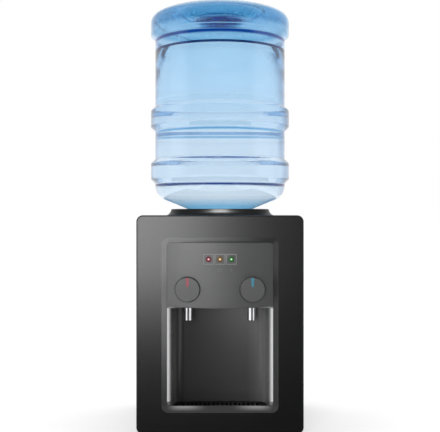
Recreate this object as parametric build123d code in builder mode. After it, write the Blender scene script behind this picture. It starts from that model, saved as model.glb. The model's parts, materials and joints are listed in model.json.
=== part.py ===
from build123d import *
import os
from math import cos, radians, sin, tan

os.makedirs("parts", exist_ok=True)

# Tabletop water dispenser with a bottle standing neck down in its top.
# Millimetres. Z is up, the front faces -Y, and the origin is on the floor under the bottle's axis.

# Casing
BODY_W = 300.0
FRONT_REACH = 150.0      # bottle axis to the front face
REAR_REACH = 142.0       # bottle axis to the rear face
BODY_TOP = 400.0         # floor to the top cover
FOOT_H = 8.0
CORNER_R = 12.0
WALL = 2.5               # moulded plastic
SHEET = 1.0              # steel sheet
FRONT_DEPTH = 22.0       # depth of the front moulding
FRONT_EDGE_R = 2.5
SKIRT = 14.0             # height of the top cover's and the base's skirts
FOLD = 12.0              # folded edges of the side panels and the shelf
FIT = 0.3                # clearance between pieces that pass or seat in each other
FOOT_R = 11.0
FOOT_EDGE = 1.4
FOOT_STEM_R = 3.5
FOOT_SIDE = 32.0         # casing's side to a foot's middle
FOOT_FRONT = 45.0
FOOT_REAR = 30.0

# Sloped lip around the front opening
LIP_OUT_W = 209.2
LIP_OUT_LOW = 46.5
LIP_OUT_TOP = 359.6
LIP_OUT_R = 12.0
LIP_IN_W = 191.2
LIP_IN_LOW = 57.0
LIP_IN_TOP = 351.0
LIP_IN_R = 6.0
LIP_DEPTH = 8.5
FLANGE = 18.0            # how far the inserts' flanges reach behind the lip

# Control panel
PANEL_LOW = 232.3        # lower edge at the middle
PANEL_RISE = 4.0         # the lower edge climbs this much towards its ends
PANEL_BOW = 5.5          # the face bulges this much towards its middle
PANEL_EDGE_R = 0.8

# Knobs and taps
TAP_X = 58.3
KNOB_Z = 267.0
KNOB_R = 22.2
KNOB_GAP = 1.3           # ring of shadow around the knob
KNOB_PROUD = 5.5         # knob's face in front of the casing's
KNOB_EDGE_R = 1.2
KNOB_WALL = 2.4
WELL_DEPTH = 9.0         # front face of the casing to the floor of the knob's well
POINTER_L = 17.0
POINTER_WIDE = 6.4
POINTER_NARROW = 3.8
POINTER_T = 1.4
TAP_DEPTH = 38.0         # front face to the nozzles' axes
BARREL_R = 13.0
BARREL_DEPTH = 16.0      # front face to the tap barrel
BARREL_L = 40.0
BARREL_BORE = 8.0
ROTOR_GAP = 0.1
PORT_R = 3.0
STEM_R = 4.0
STEM_FLAT = 2.8          # stem axis to its driving flat
KNOB_BOSS_R = 6.5
GLAND_L = 3.6
TAP_GLAND_STEP = 1.0
TAP_FOOT_W = 36.0
TAP_FOOT_D = 30.0
TAP_FOOT_H = 4.0
NOZZLE_R = 8.2
NOZZLE_EDGE = 1.0
NOZZLE_LOW = 207.3
NOZZLE_BORE = 5.0
SPOUT_R = 6.6            # spigot under the tap that the nozzle pushes over
SPOUT_L = 14.0

# Indicator lights
LED_DROP = 30.0          # top of the lip's opening to the lights
LED_PITCH = 20.4
LENS_R = 5.0
LENS_DOME = 2.4
LENS_FLANGE = 1.0
FRAME_W = 19.0
FRAME_LINE = 1.3
FRAME_DEPTH = 1.4        # panel's middle to the floor of the frame's groove
FRAME_PROUD = 0.3
BOARD_T = 1.6

# Dispensing niche, drip tray and grille
NICHE_CEILING = 233.0
NICHE_FLOOR = 28.0
NICHE_DEPTH = 80.0       # front face to the back wall
NICHE_SAG = 5.0          # the back wall is hollow by this much
NICHE_CORNER_R = 20.0
FLARE_R = 12.0           # rounding of the side walls at the mouth
FLARE_START = 25.0       # degrees that the rounding has turned from the front face, at its start
FLARE_END = 85.0         # and where it runs into the side wall
TRAY_GAP = 0.8
TRAY_WALL = 2.0
TRAY_RIM = 51.0
TRAY_RAKE = 0.75         # the front wall leans back by this much for each millimetre of height
LEDGE = 2.5
GRILLE_T = 2.5
GRILLE_SLOT = 4.0
GRILLE_PITCH = 8.0
GRILLE_SLOTS = 18
GRILLE_MARGIN = 5.0

# Bottle
BOTTLE_TOP = 798.5
RIB_R = 135.0
BOTTLE_R = 126.5
BOTTLE_WALL = 2.0
PUSH_UP = 15.0           # hollow of the bottle's base
PUSH_UP_R = 60.0
BASE_RIM_IN = 84.0
BASE_RIM_OUT = 106.0
HEEL_DROP = 13.5
HEEL_LOW = 749.0
RIB_SLOPE = 8.0          # height of each rib's sloped edges
MID_RIB = (567.5, 607.0)
LOW_RIB = (465.8, 505.0)
PUSH_UP_ROUND = 20.0
BASE_RIM_ROUND = 12.0
HEEL_TOP_ROUND = 60.0
HEEL_ROUND = 18.0
RIB_ROUND = 4.0
NECK_ROUND = 8.0
SHOULDER_Z = 436.7       # where wall and shoulder would meet without their rounding
SHOULDER_R = 32.0
SHOULDER_SLOPE = 21.0
NECK_R = 27.5
MOUTH_Z = 350.0
CAP_T = 2.5
CAP_H = 22.0
CAP_SLEEVE = 12.0
CAP_PLAY = 1.0           # cap's hole around the probe
PROBE_R = 7.5
PROBE_BORE = 5.0
PROBE_TOP = 376.0
PROBE_TIP = 7.0
PROBE_FLANGE_R = 13.0
PROBE_FLANGE_T = 2.0

# Collar and bottle seat
COLLAR_R = 104.5
COLLAR_TOP_R = 95.5
COLLAR_H = 12.0
COLLAR_MOUTH_R = 66.0
COLLAR_HOLLOW = 1.5      # hollow of the collar's flared side
COLLAR_EDGE_R = 1.0
COLLAR_FOOT = 3.8        # width that the collar rests on
SEAT_RIM_R = 62.5
SEAT_FLANGE_R = 80.0
SEAT_CUP_R = 33.0
SEAT_FLOOR = 339.0
SEAT_HOLE_R = 45.0

# Cold side
TANK_R = 66.0
TANK_WALL = 1.5
TANK_H = 71.0
TANK_LID_T = 3.0
FOAM_T = 16.0
FOAM_FLOOR = 12.0
SHELF_GAP = 1.0          # niche to the shelf above it
SHELF_T = 2.0
SHELF_SET = 12.0         # niche's back wall to the shelf's front edge
COLD_Z = 281.0           # height of the cooler's axis
PAD_W = 44.0
PAD_REACH = 67.0
BLOCK_T = 15.0
PELTIER_W = 40.0
PELTIER_T = 4.0
SINK_W = 92.0
SINK_BASE = 5.0
FIN_H = 27.0
FIN_T = 1.2
FIN_COUNT = 19
BAFFLE_H = 34.0          # tank floor to the baffle
BAFFLE_T = 2.0
BAFFLE_LEG_R = 51.0
BAFFLE_HOLES = 6
LEG_ANGLES = (30, 150, 270)   # legs of the baffle and of the hot tank's bracket

# Fan
FAN_W = 92.0
FAN_DEPTH = 18.0
FAN_BORE_R = 43.5
FAN_HUB_R = 18.0
FAN_TIP_GAP = 1.8
FAN_PLAY = 1.0           # along the axis, at each end of the rotor
FAN_BLADES = 7
BLADE_T = 1.6
BLADE_ROOT = 1.0         # blade's hold in the hub
BLADE_CHORD = 16.0
BLADE_PITCH = 42.0
FAN_PIN_R = 2.5
SPOKE_ANGLES = (45, 165, 285)
FAN_HOLE = 82.5          # spacing of the fan's corner holes

# Hot side
HOT_X = -60.0
HOT_Y = 40.0
HOT_R = 42.0
HOT_LOW = 66.0
HOT_TOP = 200.0
HOT_WALL = 1.2
HOT_EDGE_R = 8.0
HOT_FEED_X = -45.0
HOT_OUT_X = -84.0
HEATER_LOW = 100.0
HEATER_H = 40.0
HEATER_T = 3.0
HEATER_SLIT = 2.0
THERMOSTAT_R = 8.0
THERMOSTAT_L = 9.0
THERMOSTAT_FLANGE_T = 3.0
THERMOSTAT_STEP = 1.0
THERMOSTAT_Z = (158.0, 178.0)
BRACKET_LOW = 74.0
BRACKET_H = 14.0
BRACKET_T = 2.0
BRACKET_LEG = 14.0
BRACKET_FOOT = 16.0

# Tubes
TUBE_R = 5.0
TUBE_BORE = 3.5
TUBE_ROOM = 1.0          # hole around a tube
SPIGOT_GAP = 0.1
SPIGOT_BORE = 2.4
SPIGOT_L = 10.0
TUBE_BEND = 15.0
TUBE_LANE_X = 120.0      # the tubes run forward beside the side panels
COLD_OUT_Y = -10.0
DRAIN_Z = 36.0

# Rear panel and what it carries
SCREW_R = 1.5
SCREW_HEAD_R = 3.2
SCREW_HEAD_H = 2.0
SCREW_MARGIN = 1.0       # screw head to the edge of its plate
SCREW_L = 9.0
BOSS_R = 4.0
BOSS_L = 12.0
REAR_SCREW_SIDE = 30.0
SIDE_SCREW_Z = (110.0, 300.0)
VENT_SLOT = 4.0
VENT_PITCH = 9.0
VENT_L = 70.0
VENT_ROWS = 8
VENT_SIDE = 65.0         # casing's side to the middle of the vent
VENT_Z = 150.0
GUARD_SLOT = 5.0
GUARD_PITCH = 8.0
SWITCH_SIDE = (84.0, 50.0)
SWITCH_Z = 150.0
SWITCH_W = 13.0
SWITCH_H = 21.5
SWITCH_DEPTH = 18.0
SWITCH_RIM = 2.0
SWITCH_RIM_T = 2.0
ROCKER_W = 9.6
ROCKER_HALF = 9.0
ROCKER_ROOM = 1.0        # well's end beyond the rocker
ROCKER_TILT = 9.0
ROCKER_CREST = 3.0       # pivot to the rocker's raised ends
ROCKER_DIP = 1.8         # pivot to the middle of its hollow face
ROCKER_SIDE = 2.0
ROCKER_KEEL = 6.0
ROCKER_KEEL_HALF = 4.0
ROCKER_TAPER = 0.5
ROCKER_PIN_R = 1.2
GLAND_SIDE = 50.0
GLAND_Z = 44.0
GLAND_R = 8.0
GLAND_BORE = 4.0
GLAND_FLANGE_R = 11.0
GLAND_FLANGE_T = 3.0
GLAND_DEPTH = 12.0
DRAIN_R = 8.0
DRAIN_FLANGE_R = 13.0
DRAIN_FLANGE_T = 2.5
CAP_PROUD = 13.5         # drain cap's end behind the rear face
DRAIN_CAP_WALL = 2.5
DRAIN_CAP_EDGE = 1.0

# Power board
BOARD_X = 85.0
BOARD_Y = 52.0
BOARD_W = 90.0
BOARD_L = 110.0
STANDOFF_H = 8.0
STANDOFF_R = 3.5
BOARD_PIN_R = 1.4
TRANSFORMER = ((-12.0, 2.0), (36.0, 35.0, 28.0))       # middle on the board, then its size
COOLING_PLATE = ((18.0, -5.0), (8.0, 50.0, 30.0))
CONNECTOR = ((-18.0, 36.0), (25.0, 12.0, 12.0))
CAPACITORS = ((-20.0, -32.0), (2.0, -32.0))
CAPACITOR_R = 9.0
CAPACITOR_H = 26.0

# Places worked out from the sizes above
HALF_W = BODY_W / 2
FRONT_Y = -FRONT_REACH
CASE_FRONT = FRONT_Y + FRONT_DEPTH
CASE_REAR = REAR_REACH - SHEET
CASE_L = CASE_REAR - CASE_FRONT
BODY_H = BODY_TOP - FOOT_H
BODY_MID = FOOT_H + BODY_H / 2
BASE_TOP = FOOT_H + WALL
SIDE_LOW = FOOT_H + SKIRT
SIDE_TOP = BODY_TOP - SKIRT
LIP_EDGE = FRONT_Y + LIP_DEPTH
LIP_BACK = LIP_EDGE + WALL
FLANGE_BACK = LIP_BACK + WALL
FLANGE_HALF = LIP_IN_W / 2 + FLANGE
LED_Z = LIP_IN_TOP - LED_DROP
NICHE_TOP = NICHE_CEILING + WALL
PANEL_MID_Y = LIP_EDGE - PANEL_BOW
WELL_FLOOR = FRONT_Y + WELL_DEPTH
KNOB_FRONT = FRONT_Y - KNOB_PROUD
TAP_Y = FRONT_Y + TAP_DEPTH
BARREL_FRONT = FRONT_Y + BARREL_DEPTH
NICHE_BACK = FRONT_Y + NICHE_DEPTH
SHELF_FRONT = NICHE_BACK + SHELF_SET
SPIGOT_R = TUBE_BORE - SPIGOT_GAP
SHOULDER_TAN = tan(radians(SHOULDER_SLOPE))
NECK_TOP = SHOULDER_Z - (BOTTLE_R - NECK_R) * SHOULDER_TAN
SHELF_Z = NICHE_TOP + SHELF_GAP
SHELF_TOP = SHELF_Z + SHELF_T
TANK_LOW = SHELF_TOP + FOAM_FLOOR
TANK_TOP = TANK_LOW + TANK_H
FOAM_R = TANK_R + FOAM_T
LID_TOP = TANK_TOP + TANK_LID_T
BLOCK_BACK = PAD_REACH + BLOCK_T
SINK_FRONT = BLOCK_BACK + PELTIER_T
FIN_FRONT = SINK_FRONT + SINK_BASE
FAN_FRONT = CASE_REAR - FAN_DEPTH
CAP_END = REAR_REACH + CAP_PROUD
VENT_X = VENT_SIDE - HALF_W
SWITCH_X = [HALF_W - side for side in SWITCH_SIDE]
GLAND_X = HALF_W - GLAND_SIDE
REAR_SCREW_X = HALF_W - REAR_SCREW_SIDE
FOOT_X = HALF_W - FOOT_SIDE
SPIGOT_X = TAP_X + BARREL_R + 2 * SPIGOT_L
BOSS_OFF = BOSS_R - FIT
KNOB_SPOTS = [(-TAP_X, KNOB_Z), (TAP_X, KNOB_Z)]
NOZZLE_SPOTS = [(-TAP_X, TAP_Y), (TAP_X, TAP_Y)]
LED_SPOTS = [(-LED_PITCH, LED_Z), (0, LED_Z), (LED_PITCH, LED_Z)]
EDGE_SCREWS = [(x, z) for x in (-REAR_SCREW_X, 0, REAR_SCREW_X)
               for z in (BASE_TOP + BOSS_OFF, BODY_TOP - WALL - BOSS_OFF)]
SIDE_SCREW_X = HALF_W - SHEET - FOLD / 2
SIDE_SCREWS = [(x, z) for x in (-SIDE_SCREW_X, SIDE_SCREW_X) for z in SIDE_SCREW_Z]
FAN_SCREWS = [(x, COLD_Z + dz) for x in (-FAN_HOLE / 2, FAN_HOLE / 2)
              for dz in (-FAN_HOLE / 2, FAN_HOLE / 2)]
INSERT_X = FLANGE_HALF - BOSS_R
PANEL_SCREWS = [(x, z) for x in (-INSERT_X, INSERT_X) for z in (LIP_IN_TOP - FLANGE, KNOB_Z)]
NICHE_SCREWS = [(x, z) for x in (-INSERT_X, INSERT_X) for z in (NICHE_CEILING - FLANGE, LIP_IN_LOW)]
TAP_SCREW_DX = TAP_FOOT_W / 2 - SCREW_HEAD_R - SCREW_MARGIN
TAP_SCREWS = [(x + dx, TAP_Y) for x in (-TAP_X, TAP_X) for dx in (-TAP_SCREW_DX, TAP_SCREW_DX)]
FEET = [(x, y) for x in (-FOOT_X, FOOT_X) for y in (FRONT_Y + FOOT_FRONT, REAR_REACH - FOOT_REAR)]
BOARD_PINS = [(BOARD_X + dx, BOARD_Y + dy) for dx in (-BOARD_W / 2 + STANDOFF_R, BOARD_W / 2 - STANDOFF_R)
              for dy in (-BOARD_L / 2 + STANDOFF_R, BOARD_L / 2 - STANDOFF_R)]


def save(piece, label):
    piece.part.label = label
    export_step(piece.part, f"parts/{label}.step")


def front_plane(y):
    """A plane square to Y, drawn in X and Z, that extrudes towards the front."""
    return Plane.XZ.offset(-y)


def rods_y(radius, rear, front, spots, mode=Mode.ADD):
    """Rods along Y from rear to front at the given X, Z spots."""
    with BuildSketch(front_plane(rear)) as ends:
        with Locations(*spots):
            Circle(radius)
    extrude(ends.sketch, amount=rear - front, mode=mode)


def rods_z(radius, low, high, spots, mode=Mode.ADD):
    """Rods along Z from low to high at the given X, Y spots."""
    with BuildSketch(Plane.XY.offset(low)) as ends:
        with Locations(*spots):
            Circle(radius)
    extrude(ends.sketch, amount=high - low, mode=mode)


def rods_x(radius, start, stop, spots, mode=Mode.ADD):
    """Rods along X from start to stop at the given Y, Z spots."""
    with BuildSketch(Plane.YZ.offset(min(start, stop))) as ends:
        with Locations(*spots):
            Circle(radius)
    extrude(ends.sketch, amount=abs(stop - start), mode=mode)


def block(x_span, y_span, z_span, mode=Mode.ADD):
    """A box between two places on each axis."""
    spans = (x_span, y_span, z_span)
    with Locations(tuple((low + high) / 2 for low, high in spans)):
        Box(*(high - low for low, high in spans), mode=mode)


def ring(points, mode=Mode.ADD):
    """A closed profile of radius and height, turned about the bottle's axis."""
    with BuildSketch(Plane.XZ) as profile:
        with BuildLine():
            Polyline(*points, close=True)
        make_face()
    revolve(profile.sketch, axis=Axis.Z, mode=mode)


def tube(points):
    """A soft tube of straight runs and bends, with its bore."""
    with BuildPart() as hose:
        with BuildLine() as route:
            if len(points) > 2:
                FilletPolyline(*points, radius=TUBE_BEND)
            else:
                Line(*points)
        with BuildSketch(Plane(route.line @ 0, z_dir=route.line % 0)):
            Circle(TUBE_R)
            Circle(TUBE_BORE, mode=Mode.SUBTRACT)
        sweep(path=route.line)
    return hose


def case_band(low, high):
    """The casing's rounded outline as a skirted band between two heights, open inside."""
    with BuildSketch(front_plane(CASE_REAR)) as band:
        with Locations((0, BODY_MID)):
            RectangleRounded(BODY_W, BODY_H, CORNER_R)
            RectangleRounded(BODY_W - 2 * WALL, BODY_H - 2 * WALL, CORNER_R - WALL, mode=Mode.SUBTRACT)
        with Locations((0, (low + high) / 2)):
            Rectangle(BODY_W, high - low, mode=Mode.INTERSECT)
    return band.sketch


def lip_outline(y, width, low, top, radius):
    with BuildSketch(front_plane(y)) as outline:
        with Locations((0, (low + top) / 2)):
            RectangleRounded(width, top - low, radius)
    return outline.sketch


# Front moulding: a shallow tray with a sloped lip around its opening

with BuildPart() as front_panel:
    with BuildSketch(front_plane(CASE_FRONT)):
        with Locations((0, BODY_MID)):
            RectangleRounded(BODY_W, BODY_H, CORNER_R)
    extrude(amount=FRONT_DEPTH)
    fillet(front_panel.faces().sort_by(Axis.Y)[0].edges(), FRONT_EDGE_R)
    with BuildSketch(front_plane(CASE_FRONT)):
        with Locations((0, BODY_MID)):
            RectangleRounded(BODY_W - 2 * WALL, BODY_H - 2 * WALL, CORNER_R - WALL)
    extrude(amount=FRONT_DEPTH - WALL, mode=Mode.SUBTRACT)
    loft([
        lip_outline(LIP_BACK, LIP_IN_W + 2 * WALL, LIP_IN_LOW - WALL, LIP_IN_TOP + WALL,
                    LIP_IN_R + WALL).face(),
        lip_outline(FRONT_Y + WALL, LIP_OUT_W + WALL, LIP_OUT_LOW - WALL / 2, LIP_OUT_TOP + WALL / 2,
                    LIP_OUT_R + WALL / 2).face(),
    ])
    loft([
        lip_outline(LIP_EDGE, LIP_IN_W, LIP_IN_LOW, LIP_IN_TOP, LIP_IN_R).face(),
        lip_outline(FRONT_Y, LIP_OUT_W, LIP_OUT_LOW, LIP_OUT_TOP, LIP_OUT_R).face(),
    ], mode=Mode.SUBTRACT)
    extrude(lip_outline(LIP_BACK, LIP_IN_W, LIP_IN_LOW, LIP_IN_TOP, LIP_IN_R),
            amount=WALL, mode=Mode.SUBTRACT)
    rods_y(BOSS_R, LIP_BACK, FRONT_Y + WALL, PANEL_SCREWS + NICHE_SCREWS)
    rods_y(SCREW_R + FIT / 2, LIP_BACK, LIP_BACK - SCREW_L, PANEL_SCREWS + NICHE_SCREWS, Mode.SUBTRACT)
save(front_panel, "front_panel")


# Control panel: a bowed fascia with wells for the knobs and grooves for the light frames

def panel_block(inset, back):
    """The fascia's outer block, or with an inset the hollow behind its face."""
    half = LIP_IN_W / 2 - FIT - inset
    top = LIP_IN_TOP - FIT - inset
    low_mid = PANEL_LOW + inset
    low_end = low_mid + PANEL_RISE
    bow_r = (half ** 2 + PANEL_BOW ** 2) / (2 * PANEL_BOW)
    with BuildPart() as body:
        with BuildSketch(front_plane(back)) as outline:
            with BuildLine():
                Polyline((-half, low_end), (-half, top), (half, top), (half, low_end))
                ThreePointArc((half, low_end), (0, low_mid), (-half, low_end))
            make_face()
            fillet(outline.vertices().group_by(Axis.Y)[-1], LIP_IN_R - FIT)
        extrude(amount=FRONT_DEPTH)
        with BuildSketch(Plane.XY):
            with Locations((0, PANEL_MID_Y + inset + bow_r)):
                Circle(bow_r)
        extrude(amount=BODY_TOP, mode=Mode.INTERSECT)
    return body.part


PANEL_BOSSES = [(-LED_PITCH * 2, LED_Z), (LED_PITCH * 2, LED_Z)]
BOARD_FRONT = LIP_BACK
FRAME_FLOOR = PANEL_MID_Y + FRAME_DEPTH

with BuildPart() as control_panel:
    add(panel_block(0, LIP_BACK))
    fillet(control_panel.faces().sort_by(Axis.Y)[0].edges().sort_by(Axis.Z)[0], PANEL_EDGE_R)
    block((-FLANGE_HALF, FLANGE_HALF), (LIP_BACK, FLANGE_BACK), (NICHE_TOP + FIT, LIP_IN_TOP + FLANGE))
    add(panel_block(WALL, FLANGE_BACK), mode=Mode.SUBTRACT)
    rods_y(KNOB_R + KNOB_GAP + WALL, WELL_FLOOR + WALL, LIP_EDGE, KNOB_SPOTS)
    rods_y(KNOB_R + KNOB_GAP, WELL_FLOOR, FRONT_Y, KNOB_SPOTS, Mode.SUBTRACT)
    rods_y(KNOB_BOSS_R + KNOB_GAP, WELL_FLOOR + WALL, WELL_FLOOR, KNOB_SPOTS, Mode.SUBTRACT)
    rods_y(BOSS_R, BOARD_FRONT, PANEL_MID_Y + WALL / 2, PANEL_BOSSES)
    rods_y(BOARD_PIN_R, BOARD_FRONT + 2 * BOARD_T, BOARD_FRONT, PANEL_BOSSES)
    with BuildSketch(front_plane(FRAME_FLOOR)):
        with Locations(*LED_SPOTS):
            Rectangle(FRAME_W + FIT, FRAME_W + FIT)
            Rectangle(FRAME_W - 2 * FRAME_LINE - FIT, FRAME_W - 2 * FRAME_LINE - FIT, mode=Mode.SUBTRACT)
    extrude(amount=FRONT_DEPTH, mode=Mode.SUBTRACT)
    rods_y(LENS_R + FIT / 2, LIP_BACK, FRONT_Y, LED_SPOTS, Mode.SUBTRACT)
    rods_y(SCREW_R + FIT / 2, FLANGE_BACK, LIP_BACK, PANEL_SCREWS, Mode.SUBTRACT)
save(control_panel, "control_panel")

with BuildPart() as indicator_frames:
    with BuildSketch(front_plane(FRAME_FLOOR)):
        with Locations(*LED_SPOTS):
            Rectangle(FRAME_W, FRAME_W)
            Rectangle(FRAME_W - 2 * FRAME_LINE, FRAME_W - 2 * FRAME_LINE, mode=Mode.SUBTRACT)
    extrude(amount=FRAME_DEPTH + FRAME_PROUD)
save(indicator_frames, "indicator_frames")

LENS_FLANGE_FRONT = PANEL_MID_Y + WALL + FIT + FRAME_PROUD

for colour, spot in zip(("red", "amber", "green"), LED_SPOTS):
    with BuildPart() as lens:
        rods_y(LENS_R, LENS_FLANGE_FRONT, PANEL_MID_Y, [spot])
        rods_y(LENS_R + LENS_FLANGE, BOARD_FRONT, LENS_FLANGE_FRONT, [spot])
        with BuildSketch(Plane.XY.offset(LED_Z)) as dome:
            with BuildLine():
                ThreePointArc(
                    (spot[0] + LENS_R, PANEL_MID_Y),
                    (spot[0] + LENS_R * cos(radians(45)), PANEL_MID_Y - LENS_DOME * sin(radians(45))),
                    (spot[0], PANEL_MID_Y - LENS_DOME),
                )
                Polyline((spot[0], PANEL_MID_Y - LENS_DOME), (spot[0], PANEL_MID_Y),
                         (spot[0] + LENS_R, PANEL_MID_Y))
            make_face()
        revolve(axis=Axis((spot[0], 0, LED_Z), (0, 1, 0)))
    save(lens, f"indicator_lens_{colour}")

with BuildPart() as indicator_board:
    with BuildSketch(front_plane(BOARD_FRONT + BOARD_T)):
        with Locations((0, LED_Z)):
            RectangleRounded(4 * LED_PITCH + 4 * BOSS_R, FRAME_W + BOSS_R, WALL)
        with Locations(*PANEL_BOSSES):
            Circle(BOARD_PIN_R + FIT / 2, mode=Mode.SUBTRACT)
    extrude(amount=BOARD_T)
    block((-LED_PITCH, LED_PITCH), (BOARD_FRONT + BOARD_T, BOARD_FRONT + 5 * BOARD_T),
          (LED_Z - BOSS_R, LED_Z + BOSS_R))
save(indicator_board, "indicator_board")


# Taps: plug valves turned by the knobs, with a nozzle under each

for side, water in ((-1, "hot"), (1, "cold")):
    x = side * TAP_X
    axis_spot = [(x, KNOB_Z)]
    foot_spot = [(x, TAP_Y)]
    barrel_back = BARREL_FRONT + BARREL_L
    with BuildPart() as tap_body:
        rods_y(BARREL_R, barrel_back, BARREL_FRONT, axis_spot)
        rods_z(BARREL_R - WALL, NICHE_TOP, KNOB_Z, foot_spot)
        with BuildSketch(Plane.XY.offset(NICHE_TOP)):
            with Locations((x, TAP_Y)):
                RectangleRounded(TAP_FOOT_W, TAP_FOOT_D, BOSS_R)
        extrude(amount=TAP_FOOT_H)
        rods_z(SPOUT_R, NICHE_TOP - SPOUT_L, NICHE_TOP, foot_spot)
        rods_x(SPIGOT_R, x, side * SPIGOT_X, [(TAP_Y, KNOB_Z)])
        rods_x(TUBE_R, x, side * (SPIGOT_X - SPIGOT_L), [(TAP_Y, KNOB_Z)])
        rods_y(BARREL_BORE, barrel_back - WALL, BARREL_FRONT, axis_spot, Mode.SUBTRACT)
        rods_z(PORT_R, NICHE_TOP - SPOUT_L, KNOB_Z, foot_spot, Mode.SUBTRACT)
        rods_x(SPIGOT_BORE, x, side * SPIGOT_X, [(TAP_Y, KNOB_Z)], Mode.SUBTRACT)
        rods_z(SCREW_R + FIT / 2, NICHE_TOP, NICHE_TOP + TAP_FOOT_H, TAP_SCREWS, Mode.SUBTRACT)
    save(tap_body, f"{water}_tap_body")

    rotor_r = BARREL_BORE - ROTOR_GAP
    rotor_back = barrel_back - WALL - ROTOR_GAP
    stem_front = WELL_FLOOR - KNOB_BOSS_R
    with BuildPart() as tap_rotor:
        rods_y(rotor_r, rotor_back, BARREL_FRONT + ROTOR_GAP, axis_spot)
        rods_y(STEM_R, BARREL_FRONT + WALL, stem_front, axis_spot)
        block((x - STEM_R, x + STEM_R), (stem_front, WELL_FLOOR), (KNOB_Z + STEM_FLAT, KNOB_Z + STEM_R),
              Mode.SUBTRACT)
        rods_x(PORT_R, x, x + rotor_r, [(TAP_Y, KNOB_Z)], Mode.SUBTRACT)
        rods_z(PORT_R, *sorted((KNOB_Z, KNOB_Z + side * rotor_r)), foot_spot, Mode.SUBTRACT)
    save(tap_rotor, f"{water}_tap_rotor")

    with BuildPart() as nozzle:
        rods_z(NOZZLE_R, NOZZLE_LOW, NICHE_CEILING, foot_spot)
        chamfer(nozzle.edges().group_by(Axis.Z)[0], NOZZLE_EDGE)
        rods_z(NOZZLE_BORE, NOZZLE_LOW, NICHE_CEILING, foot_spot, Mode.SUBTRACT)
        rods_z(SPOUT_R + SPIGOT_GAP, NICHE_TOP - SPOUT_L - FIT, NICHE_CEILING, foot_spot, Mode.SUBTRACT)
    save(nozzle, f"{water}_nozzle")

    with BuildPart() as knob:
        rods_y(KNOB_R, WELL_FLOOR - FIT, KNOB_FRONT, axis_spot)
        fillet(knob.faces().sort_by(Axis.Y)[0].edges(), KNOB_EDGE_R)
        rods_y(KNOB_R - KNOB_WALL, WELL_FLOOR - FIT, KNOB_FRONT + POINTER_T + KNOB_WALL, axis_spot,
               Mode.SUBTRACT)
        rods_y(KNOB_BOSS_R, WELL_FLOOR + WALL, KNOB_FRONT + POINTER_T + KNOB_WALL, axis_spot)
        with BuildSketch(front_plane(WELL_FLOOR + WALL)):
            with Locations((x, KNOB_Z)):
                Circle(STEM_R + SPIGOT_GAP)
        extrude(amount=WALL, mode=Mode.SUBTRACT)
        with BuildSketch(front_plane(WELL_FLOOR)):
            with Locations((x, KNOB_Z)):
                Circle(STEM_R + SPIGOT_GAP)
            with Locations((x, KNOB_Z + STEM_FLAT + SPIGOT_GAP + STEM_R)):
                Rectangle(4 * STEM_R, 2 * STEM_R, mode=Mode.SUBTRACT)
        extrude(amount=KNOB_BOSS_R + FIT, mode=Mode.SUBTRACT)
        with BuildSketch(front_plane(KNOB_FRONT + POINTER_T)) as groove:
            with BuildLine():
                Polyline(
                    (x - POINTER_WIDE / 2, KNOB_Z + KNOB_R), (x + POINTER_WIDE / 2, KNOB_Z + KNOB_R),
                    (x + POINTER_NARROW / 2, KNOB_Z + KNOB_R - POINTER_L),
                    (x - POINTER_NARROW / 2, KNOB_Z + KNOB_R - POINTER_L), close=True,
                )
            make_face()
            with Locations((x, KNOB_Z)):
                Circle(KNOB_R - KNOB_EDGE_R, mode=Mode.INTERSECT)
        extrude(amount=POINTER_T, mode=Mode.SUBTRACT)
    save(knob, f"{water}_knob")

    with BuildPart() as pointer:
        with BuildSketch(front_plane(KNOB_FRONT + POINTER_T)):
            add(groove.sketch_local)
            offset(amount=-SPIGOT_GAP)
        extrude(amount=POINTER_T)
    save(pointer, f"{water}_knob_pointer")

with BuildPart() as tap_glands:
    rods_y(BARREL_R - TAP_GLAND_STEP, BARREL_FRONT, BARREL_FRONT - GLAND_L, KNOB_SPOTS)
    rods_y(STEM_R + SPIGOT_GAP, BARREL_FRONT, BARREL_FRONT - GLAND_L, KNOB_SPOTS, Mode.SUBTRACT)
save(tap_glands, "tap_glands")


# Dispensing niche with its drip tray and grille

def flare_point(angle):
    """A point on the rounding of the right side wall, by how far its face has turned."""
    start = radians(FLARE_START)
    turn = radians(angle)
    x = LIP_IN_W / 2 + FLARE_R * (sin(start) - sin(turn))
    y = LIP_BACK + FLARE_R * (cos(start) - cos(turn))
    return x, y


def niche_plan(growth):
    """The niche seen from above, grown by a wall or shrunk by a clearance."""
    flare_mid = flare_point((FLARE_START + FLARE_END) / 2)
    wall_x, wall_y = flare_point(FLARE_END)
    back_y = NICHE_BACK - NICHE_SAG
    corner_x = wall_x - (back_y - wall_y) / tan(radians(FLARE_END))
    mouth_x = LIP_IN_W / 2
    with BuildSketch(Plane.XY) as plan:
        with BuildLine():
            for side in (-1, 1):
                ThreePointArc((side * mouth_x, LIP_BACK), (side * flare_mid[0], flare_mid[1]),
                              (side * wall_x, wall_y))
                Line((side * wall_x, wall_y), (side * corner_x, back_y))
            ThreePointArc((-corner_x, back_y), (0, NICHE_BACK), (corner_x, back_y))
            Line((-mouth_x, LIP_BACK), (mouth_x, LIP_BACK))
        make_face()
        fillet(plan.vertices().group_by(Axis.Y)[-1], NICHE_CORNER_R)
        if growth:
            offset(amount=growth)
        with Locations((0, LIP_BACK - BODY_W / 2)):
            Rectangle(BODY_W, BODY_W, mode=Mode.SUBTRACT)
    return plan.sketch


def niche_prism(growth, low, high, mode=Mode.ADD):
    plan = niche_plan(growth).moved(Location((0, 0, low)))
    extrude(plan, amount=high - low, dir=(0, 0, 1), mode=mode)


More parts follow.
